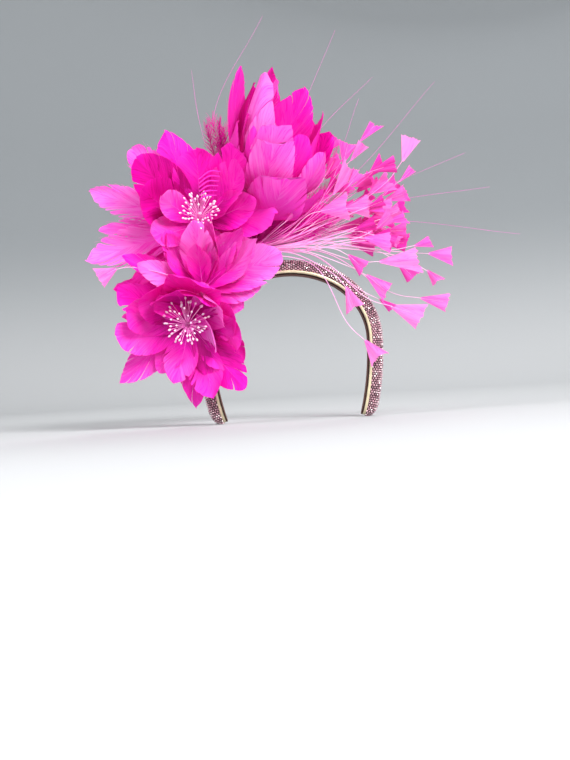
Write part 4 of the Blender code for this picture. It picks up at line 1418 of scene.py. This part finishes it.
class FASCINATOR_OT_headband(bpy.types.Operator):
    """Make the padded headband: its stones and their net, the champagne edge and the lining"""

    bl_idname = "fascinator.make_headband"
    bl_label = "Headband"

    def execute(self, context):
        settings = context.scene.fascinator_band
        self.padding(settings)
        self.stones(settings)
        self.edge(settings)
        self.lining(settings)
        return {"FINISHED"}

    def padding(self, settings):
        """The foam core in its net, a little inside the stones."""
        shape = Shape()
        turns = np.linspace(0, math.pi, 21)
        sink = -0.75 * MM
        sections = [[dome_point(a, t, sink) for t in turns] for a in band_angles(121)]
        loft(shape, sections)
        piece = shape.make(
            "band_padding", [setting_mesh(settings)], "rhinestone_mesh", "band_padding"
        )

    def stones(self, settings):
        """Round stones in staggered rows over the padding. Each is cut with a table and eight
        sides."""
        rng = np.random.default_rng(41)
        pitch = settings.stone_pitch
        end_margin, side_margin = 0.8 * MM, 0.5 * MM
        fine = band_angles(1201)
        ridge = np.array([dome_point(a, math.pi * 0.3) for a in fine])
        steps = np.concatenate([[0], np.cumsum(np.linalg.norm(np.diff(ridge, axis=0), axis=1))])
        # Staggered rows nest into each other
        rows = int(steps[-1] / (pitch * 0.87))
        shape = Shape()
        for row in range(rows + 1):
            place = (steps[-1] - 2 * end_margin) * row / rows + end_margin
            angle = float(np.interp(place, steps, fine))
            turns = np.linspace(0, math.pi, 81)
            arc = np.array([dome_point(angle, t, -0.3 * MM) for t in turns])
            walk = np.concatenate([[0], np.cumsum(np.linalg.norm(np.diff(arc, axis=0), axis=1))])
            breadth = walk[-1] - 2 * side_margin
            count = max(2, int(round(breadth / pitch)))
            odd = row % 2
            for k in range(count + 1 - odd):
                spot = side_margin + breadth / count * (k + odd / 2)
                turn = float(np.interp(spot, walk, turns))
                self.stone(shape, angle, turn, pitch, rng)
        shape.make(
            "band_stones",
            [foiled_glass(settings)],
            "rhinestone_mesh",
            "band_padding",
            smooth_angle=5,
        )

    def stone(self, shape, angle, turn, pitch, rng):
        """One stone, tipped a few degrees its own way as hand set stones are."""
        depth, nudge, angle_nudge = -0.55 * MM, 0.02, 0.2
        before, after = max(0.0, turn - nudge), min(math.pi, turn + nudge)
        centre, low, high, rear, front = (
            dome_point(station, across, depth)
            for station, across in (
                (angle, turn),
                (angle, before),
                (angle, after),
                (angle - angle_nudge, turn),
                (angle + angle_nudge, turn),
            )
        )
        sideways, lengthways = high - low, front - rear
        out = unit(np.cross(lengthways, sideways))
        if np.dot(out, arch_station(angle)[1]) < 0 and abs(turn - math.pi / 2) < 1.2:
            out = -out
        out = unit(out + rng.normal(0, 0.07, 3))
        side = unit(sideways - out * np.dot(sideways, out))
        other = np.cross(out, side)
        radius = pitch * 0.40 * rng.uniform(0.92, 1.04)
        spin = rng.uniform(0, math.pi / 4)
        points = []
        # Foot, girdle and table: height in millimetres, share of the radius, and turn in steps
        for level, share, offset in ((0.0, 0.86, 0), (0.42, 1.0, 0), (0.98, 0.56, 0.5)):
            for k in range(8):
                around = 2 * math.pi * (k + offset) / 8 + spin
                radial = side * math.cos(around) + other * math.sin(around)
                points.append(centre + radial * radius * share + out * level * MM)
        number = np.arange(24).reshape(3, 8)
        after = np.roll(number, -1, axis=1)
        quads = np.stack([number[0], after[0], after[1], number[1]], -1)
        triangles = np.concatenate(
            [
                np.stack([number[1], after[1], number[2]], -1),
                np.stack([after[1], after[2], number[2]], -1),
                [(16, 16 + k, 17 + k) for k in range(1, 7)],
                [(0, k + 1, k) for k in range(1, 7)],
            ]
        )
        # A random tone per stone: painted shade on the low ones, a painted near-white glint on the
        # highest.
        shape.add(points, quads, triangles, tones=rng.beta(1.4, 1.1))

    def edge(self, settings):
        """The leatherette edge, rolled over at its corners."""
        shape = Shape()
        sections = []
        low, high = LINING_THICKNESS + LAYER_GAP, STRIP_TOP - 0.6 * NET_OVERLAP
        corner = 1.1 * MM
        for angle in band_angles(121):
            reach = half_breadth(angle) + STRIP_INSET
            middle, half = (low + high) / 2, (high - low) / 2
            section = []
            for side in (-1, 1):
                for i in range(9):
                    turn = math.pi * (i / 8 - 0.5)
                    # A full, slightly flattened bulge on each side
                    out = reach - corner + corner * math.cos(turn) ** 0.7
                    section.append(at(angle, side * out, middle + side * -half * math.sin(turn)))
            sections.append(section)
        loft(shape, sections)
        shape.make(
            "band_edge", [champagne_leatherette(settings)], "champagne_strip", "band_strip"
        )

    def lining(self, settings):
        """The velvet ribbon, with a ribbed selvedge along each side."""
        shape = Shape()
        sections = []
        profile = np.linspace(-1, 1, 17)
        for angle in band_angles(121):
            reach = half_breadth(angle) - LINING_INSET * rounding(angle, 0.3)
            inner = [
                at(angle, p * reach, 0.10 * MM * math.sin(abs(p) * 40) * (abs(p) > 0.85))
                for p in profile
            ]
            outer = [at(angle, p * reach, LINING_THICKNESS) for p in profile[::-1]]
            sections.append(inner + outer)
        loft(shape, sections)
        piece = shape.make("band_lining", [velvet_ribbon(settings)], "brown_lining", "band_lining")


class FASCINATOR_OT_felt_base(bpy.types.Operator):
    """Make the felt base that carries the feathers"""

    bl_idname = "fascinator.make_felt_base"
    bl_label = "Felt base"

    def execute(self, context):
        rng = np.random.default_rng(17)
        first, last = FELT_ANGLES
        share = FELT_HALF_BREADTH / CROWN_HALF_BREADTH
        sections = []
        for i in range(61):
            across = i / 60
            angle = first + (last - first) * across
            narrow = share * (0.45 + 0.55 * math.sin(math.pi * across) ** 0.5)
            turns = math.pi * (0.5 + (np.linspace(0, 1, 15) - 0.5) * narrow)
            inner = [dome_point(angle, t, FELT_GAP) for t in turns]
            fuzz = rng.normal(0, 0.05 * MM, 15)
            outer = [
                dome_point(angle, t, FELT_GAP + FELT_THICKNESS + f)
                for t, f in zip(turns, fuzz)
            ]
            sections.append(inner + outer[::-1])
        shape = Shape()
        loft(shape, sections)
        piece = shape.make(
            "felt_base",
            [pressed_felt(context.scene.fascinator_feather)],
            "pink_felt",
            "felt_base",
        )
        return {"FINISHED"}


class FASCINATOR_OT_flowers(bpy.types.Operator):
    """Make the three feather flowers"""

    bl_idname = "fascinator.make_flowers"
    bl_label = "Flowers"

    def execute(self, context):
        settings = context.scene.fascinator_feather
        finishes = feather_materials(context)
        for name, bloom, seed in (
            ("flower_low", LOW_FLOWER, 3),
            ("flower_middle", MIDDLE_FLOWER, 5),
            ("flower_top", TOP_FLOWER, 8),
        ):
            shape = make_bloom(bloom, settings, seed)
            if bloom is MIDDLE_FLOWER:
                for barb in CURLED_BARBS:
                    points = [np.array((x, CURLED_BARB_DEPTH, z)) * MM for x, z in barb]
                    path = smooth_path(points, 14)
                    radii = 0.75 * MM * np.sin(np.linspace(0.5, 2.4, 14))
                    shape.tube(path, radii, 6, 0.58, seed=barb[0][1])
            shape.make(name, finishes, "pink_feather", name)
        return {"FINISHED"}


class FASCINATOR_OT_leaf_fan(bpy.types.Operator):
    """Make the fan of leaf feathers between the two open flowers"""

    bl_idname = "fascinator.make_leaf_fan"
    bl_label = "Leaf feathers"

    def execute(self, context):
        settings = context.scene.fascinator_feather
        finishes = feather_materials(context)
        shape = make_bloom(LEAF_FAN, settings, 12, splits=0.25, rag=0.03, loose=9)
        shape.make("leaf_fan", finishes, "pink_feather", "leaf_fan")
        return {"FINISHED"}


class FASCINATOR_OT_hackles(bpy.types.Operator):
    """Make the fringe of hackle feathers behind the top flower"""

    bl_idname = "fascinator.make_hackles"
    bl_label = "Hackle fringe"

    def execute(self, context):
        finishes = feather_materials(context)
        rng = np.random.default_rng(21)
        shape = Shape()
        for petal in HACKLE_FRINGE.petals:
            surface = petal_surface(HACKLE_FRINGE.heart, HACKLE_FRINGE.axis, petal)
            add_hackle(shape, surface, petal, rng)
        bind(shape, HACKLE_FRINGE)
        shape.make("hackle_fringe", finishes, "pink_feather", "hackle_fringe")
        return {"FINISHED"}


class FASCINATOR_OT_stamens(bpy.types.Operator):
    """Make the bursts of stamens in the two open flowers"""

    bl_idname = "fascinator.make_stamens"
    bl_label = "Stamens"

    def execute(self, context):
        settings = context.scene.fascinator_spray
        quill = feather_materials(context)[1]
        pip = pearl_pip(settings.pip)
        for name, bloom, lean, spread in (
            ("stamens_low", LOW_FLOWER, (-0.10, -0.98, 0.03), 52),
            ("stamens_middle", MIDDLE_FLOWER, (0.18, -0.84, 0.49), 38),
        ):
            self.burst(name, bloom, lean, spread, settings.filaments, [quill, pip])
        return {"FINISHED"}

    def burst(self, name, bloom, lean, spread, count, finishes):
        rng = np.random.default_rng(33 + len(name))
        shape = Shape()
        along, left, up = axis_frame(lean)
        axis = unit(np.asarray(bloom.axis, float))
        top = np.asarray(bloom.heart) * MM + axis * 0.4 * MM
        for i in range(count):
            opening = math.radians(5 + spread * math.sqrt((i + 0.5) / count))
            opening += rng.normal(0, 0.05)
            turn = i * GOLDEN_ANGLE + rng.normal(0, 0.12)
            radial = left * math.cos(turn) + up * math.sin(turn)
            way = along * math.cos(opening) + radial * math.sin(opening)
            reach = (24 + 3.5 * math.sin(i * 2.4)) * MM * rng.uniform(0.86, 1.04)
            start = top + radial * 2.6 * MM * math.sin(opening)
            end = start + way * reach
            middle = start + (along * 0.5 + way * 0.5) * reach * 0.5
            path = smooth_path([start, middle, end], 9)
            shape.tube(path, np.linspace(0.24, 0.2, 9) * MM, 5, 0.9, seed=i)
            self.pip(shape, end, path[-1] - path[-2], rng)
        heights = np.array([-0.9, -0.6, 0.6, 1.0, 1.2]) * MM
        radii = np.array([3.6, 4.4, 4.1, 3.4, 1.5]) * MM
        path = np.asarray(bloom.heart) * MM + heights[:, None] * axis
        shape.tube(path, radii, 18, 0.5)
        shape.make(name, finishes, "stamen_pip", name)

    def pip(self, shape, place, way, rng):
        """A pip like a grain of rice, rounded at both ends."""
        way = unit(way)
        share = np.linspace(0, 1, 7)
        radius = rng.uniform(0.95, 1.2) * MM
        length = radius * 2.9
        path = place + (share[:, None] - 0.25) * length * way
        radii = radius * np.maximum(np.sin(math.pi * np.clip(share, 0.04, 0.96)) ** 0.6, 0.1)
        shape.tube(path, radii, 8, 0.9, slot=1)


class FASCINATOR_OT_arrow_spray(bpy.types.Operator):
    """Make the spray of arrow feathers"""

    bl_idname = "fascinator.make_arrow_spray"
    bl_label = "Arrow spray"

    def execute(self, context):
        settings = context.scene.fascinator_spray
        feather = context.scene.fascinator_feather
        goose, _, tape = feather_materials(context)
        vane = dyed_feather(settings, feather.barb_spacing, "dyed_coque_feather", 0.45)
        finishes = [vane, bare_quill(settings, "stripped_coque_quill"), tape, goose]
        rng = np.random.default_rng(55)
        shape = Shape()
        for arrow in ARROWS:
            self.arrow(shape, arrow, settings, feather, rng)
        # Small ones between the others, kept where the spray is thickest. Directions are as seen
        # from the spray's heart in the photo.
        heart_x, heart_z, thickest, reach = -32, 25, 0.36, 0.4
        for _ in range(40):
            x, z = rng.uniform(42, 108), rng.uniform(26, 100)
            direction = math.atan2(z - heart_z, x - heart_x)
            heading = math.degrees(direction) + rng.normal(0, 16)
            size, y = rng.uniform(17, 27), rng.uniform(-30, 26)
            bow, turn, tone = rng.uniform(-8, 2), rng.uniform(-40, 40), rng.uniform(0.25, 0.8)
            more = Arrow(x, y, z, bow, heading, size, size * 0.8, turn, tone)
            if abs(direction - thickest) < reach:
                self.arrow(shape, more, settings, feather, rng)
        self.arrow(shape, LEFT_ARROW, settings, feather, rng, LEAF_FAN.heart)
        for petal in SPRAY_FLUFF:
            add_petal(
                shape,
                SPRAY_ROOT,
                (0, -1, 0),
                petal,
                feather,
                rng,
                splits=0.7,
                rag=0.12,
                loose=22,
                quill=0.6,
                slot=UNDER_FEATHER,
            )
        for petal in SPRAY_HACKLES:
            surface = petal_surface(SPRAY_ROOT, (0, -1, 0), petal)
            add_hackle(shape, surface, petal, rng, slot=UNDER_FEATHER)
        root = np.asarray(SPRAY_ROOT) * MM
        axis = unit(np.array([1, -0.1, 0.25]))
        heights = np.array([-8, -7, -3, 2, 7, 11, 13]) * MM
        radii = np.array([2.6, 3.6, 4.2, 5.0, 5.8, 6.4, 5.2]) * MM
        shape.tube(root + heights[:, None] * axis, radii, 18, 0.3, slot=TAPE)
        add_stalk(shape, root, felt_seat(-23, 32))
        shape.make("arrow_spray", finishes, "pale_feather", "arrow_spray")
        return {"FINISHED"}

    def arrow(self, shape, arrow, settings, feather, rng, root=SPRAY_ROOT):
        """A bare stem that ends in a trimmed, notched wedge of vane."""
        # The lower stems took less dye than the ones that stand up
        stem_tones = (0.5, 0.85) if arrow.z < 65 else (0.1, 0.5)
        root = np.asarray(root) * MM
        tip = np.array([arrow.x, arrow.y, arrow.z]) * MM
        span = tip - root
        leftwards = unit(np.array([-span[2], 0, span[0]]))
        heading = math.radians(arrow.heading)
        way = np.array([math.cos(heading), 0, math.sin(heading)])
        bend = root + span * 0.4 + leftwards * arrow.bow * MM
        neck = tip - unit(way + unit(span)) * 0.2 * np.linalg.norm(span)
        path = smooth_path([root + unit(span) * 4.5 * MM, bend, neck, tip], 28)
        share = np.linspace(0, 1, 28)
        tones = rng.uniform(*stem_tones) + 0.25 * share
        shape.tube(
            path,
            settings.stem_radius * (1 - 0.45 * share),
            6,
            tones,
            seed=rng.uniform(0, 9),
            slot=QUILL,
        )
        side = rotated(unit(np.cross(way, (0, 1, 0))), way, math.radians(arrow.turn))
        back = np.cross(side, way)
        self.wedge(shape, tip - way * 1.5 * MM, way, side, back, arrow, feather, rng)

    def wedge(self, shape, start, way, side, back, arrow, feather, rng):
        length, half = arrow.length * MM, arrow.breadth * MM / 2
        rows, columns = 12, 25
        t, u = np.meshgrid(np.linspace(0, 1, rows), np.linspace(-1, 1, columns), indexing="ij")
        seed = rng.uniform(0, 50)
        tooth = np.array([rng.uniform(0, 1) for _ in range(columns)])
        padded = np.concatenate([tooth[:1], tooth, tooth[-1:]])
        tooth = np.convolve(padded, [0.3, 0.7, 0.0], "valid")
        ragged = 0.09 * tooth[None, :] * t**3
        lopsided = rng.uniform(-0.1, 0.1) * u * t
        notch = rng.choice([0.0, 0.04, 0.09, 0.14])
        along = t * (1 - notch * (1 - np.abs(u))) - ragged + lopsided
        breadth = half * (0.1 + 0.9 * t) * (1 - 0.05 * tooth[None, :] * t)
        bend = rng.uniform(-0.12, 0.12)
        lift = half * (0.12 * u * u * t + bend * t * t + 0.05 * np.sin(u * 5 + seed) * t)
        grid = (
            start
            + (length * along)[..., None] * way
            + (u * breadth)[..., None] * side
            + lift[..., None] * back
        )
        across_mm = u * breadth / MM
        marks = np.stack(
            [across_mm * 1.6 + 0.8 * np.sign(u) * t, t * arrow.length, 0 * t + seed], -1
        )
        tones = arrow.tone + 0.12 * (t - 0.6) - 0.10 * np.exp(-((u / 0.12) ** 2))
        shape.sheet(grid, feather.thickness * 0.9 * (1 - 0.5 * t), marks, tones)
        stations = np.linspace(0, 0.8, 8)
        path = start + (length * stations)[:, None] * way
        shape.tube(path, (0.26 - 0.2 * stations) * MM, 5, 0.8, slot=QUILL)


class FASCINATOR_OT_fine_strands(bpy.types.Operator):
    """Make the longest thin wisps"""

    bl_idname = "fascinator.make_fine_strands"
    bl_label = "Fine strands"

    def execute(self, context):
        settings = context.scene.fascinator_spray
        finishes = feather_materials(context)
        rng = np.random.default_rng(77)
        shape = Shape()
        root = np.asarray(STRAND_ROOT) * MM
        for i, (middle, end) in enumerate(STRANDS):
            path = smooth_path([root, np.array(middle) * MM, np.array(end) * MM], 40)
            share = np.linspace(0, 1, 40)
            radii = settings.strand_radius * (1 - 0.6 * share)
            shape.tube(path, radii, 5, 0.3 + 0.2 * share, seed=rng.uniform(0, 9), slot=QUILL)
        axis = unit(np.array([-0.1, 0.3, 1.0]))
        heights = np.array([-5, -4.4, 0, 3.4, 4]) * MM
        radii = np.array([2.2, 2.8, 2.7, 2.5, 1.6]) * MM
        shape.tube(root + heights[:, None] * axis, radii, 14, 0.3, slot=TAPE)
        add_stalk(shape, root, felt_seat(-36, -40))
        shape.make("fine_strands", finishes, "pale_feather", "fine_strands")
        return {"FINISHED"}


class FASCINATOR_PT_panel(bpy.types.Panel):
    """Lists the fascinator's settings and its parts"""

    bl_label = "Fascinator"
    bl_idname = "FASCINATOR_PT_panel"
    bl_space_type = "VIEW_3D"
    bl_region_type = "UI"
    bl_category = "Fascinator"

    def draw(self, context):
        column = self.layout.column()
        for operator in OPERATORS:
            column.operator(operator.bl_idname)
        for name in SETTINGS:
            group = getattr(context.scene, name)
            for key in group.__annotations__:
                column.prop(group, key)


SETTINGS = {
    "fascinator_feather": FeatherSettings,
    "fascinator_band": BandSettings,
    "fascinator_spray": SpraySettings,
    "fascinator_stage": StageSettings,
}
OPERATORS = (
    FASCINATOR_OT_stage,
    FASCINATOR_OT_headband,
    FASCINATOR_OT_felt_base,
    FASCINATOR_OT_flowers,
    FASCINATOR_OT_leaf_fan,
    FASCINATOR_OT_hackles,
    FASCINATOR_OT_stamens,
    FASCINATOR_OT_arrow_spray,
    FASCINATOR_OT_fine_strands,
)


def register():
    for made in (*SETTINGS.values(), *OPERATORS, FASCINATOR_PT_panel):
        bpy.utils.register_class(made)
    for name, made in SETTINGS.items():
        setattr(bpy.types.Scene, name, PointerProperty(type=made))


def unregister():
    for name in SETTINGS:
        delattr(bpy.types.Scene, name)
    for made in (FASCINATOR_PT_panel, *reversed(OPERATORS), *SETTINGS.values()):
        bpy.utils.unregister_class(made)


def main():
    register()
    bpy.ops.fascinator.make_stage()
    bpy.ops.fascinator.make_headband()
    bpy.ops.fascinator.make_felt_base()
    bpy.ops.fascinator.make_flowers()
    bpy.ops.fascinator.make_leaf_fan()
    bpy.ops.fascinator.make_hackles()
    bpy.ops.fascinator.make_stamens()
    bpy.ops.fascinator.make_arrow_spray()
    bpy.ops.fascinator.make_fine_strands()


if __name__ == "__main__":
    main()
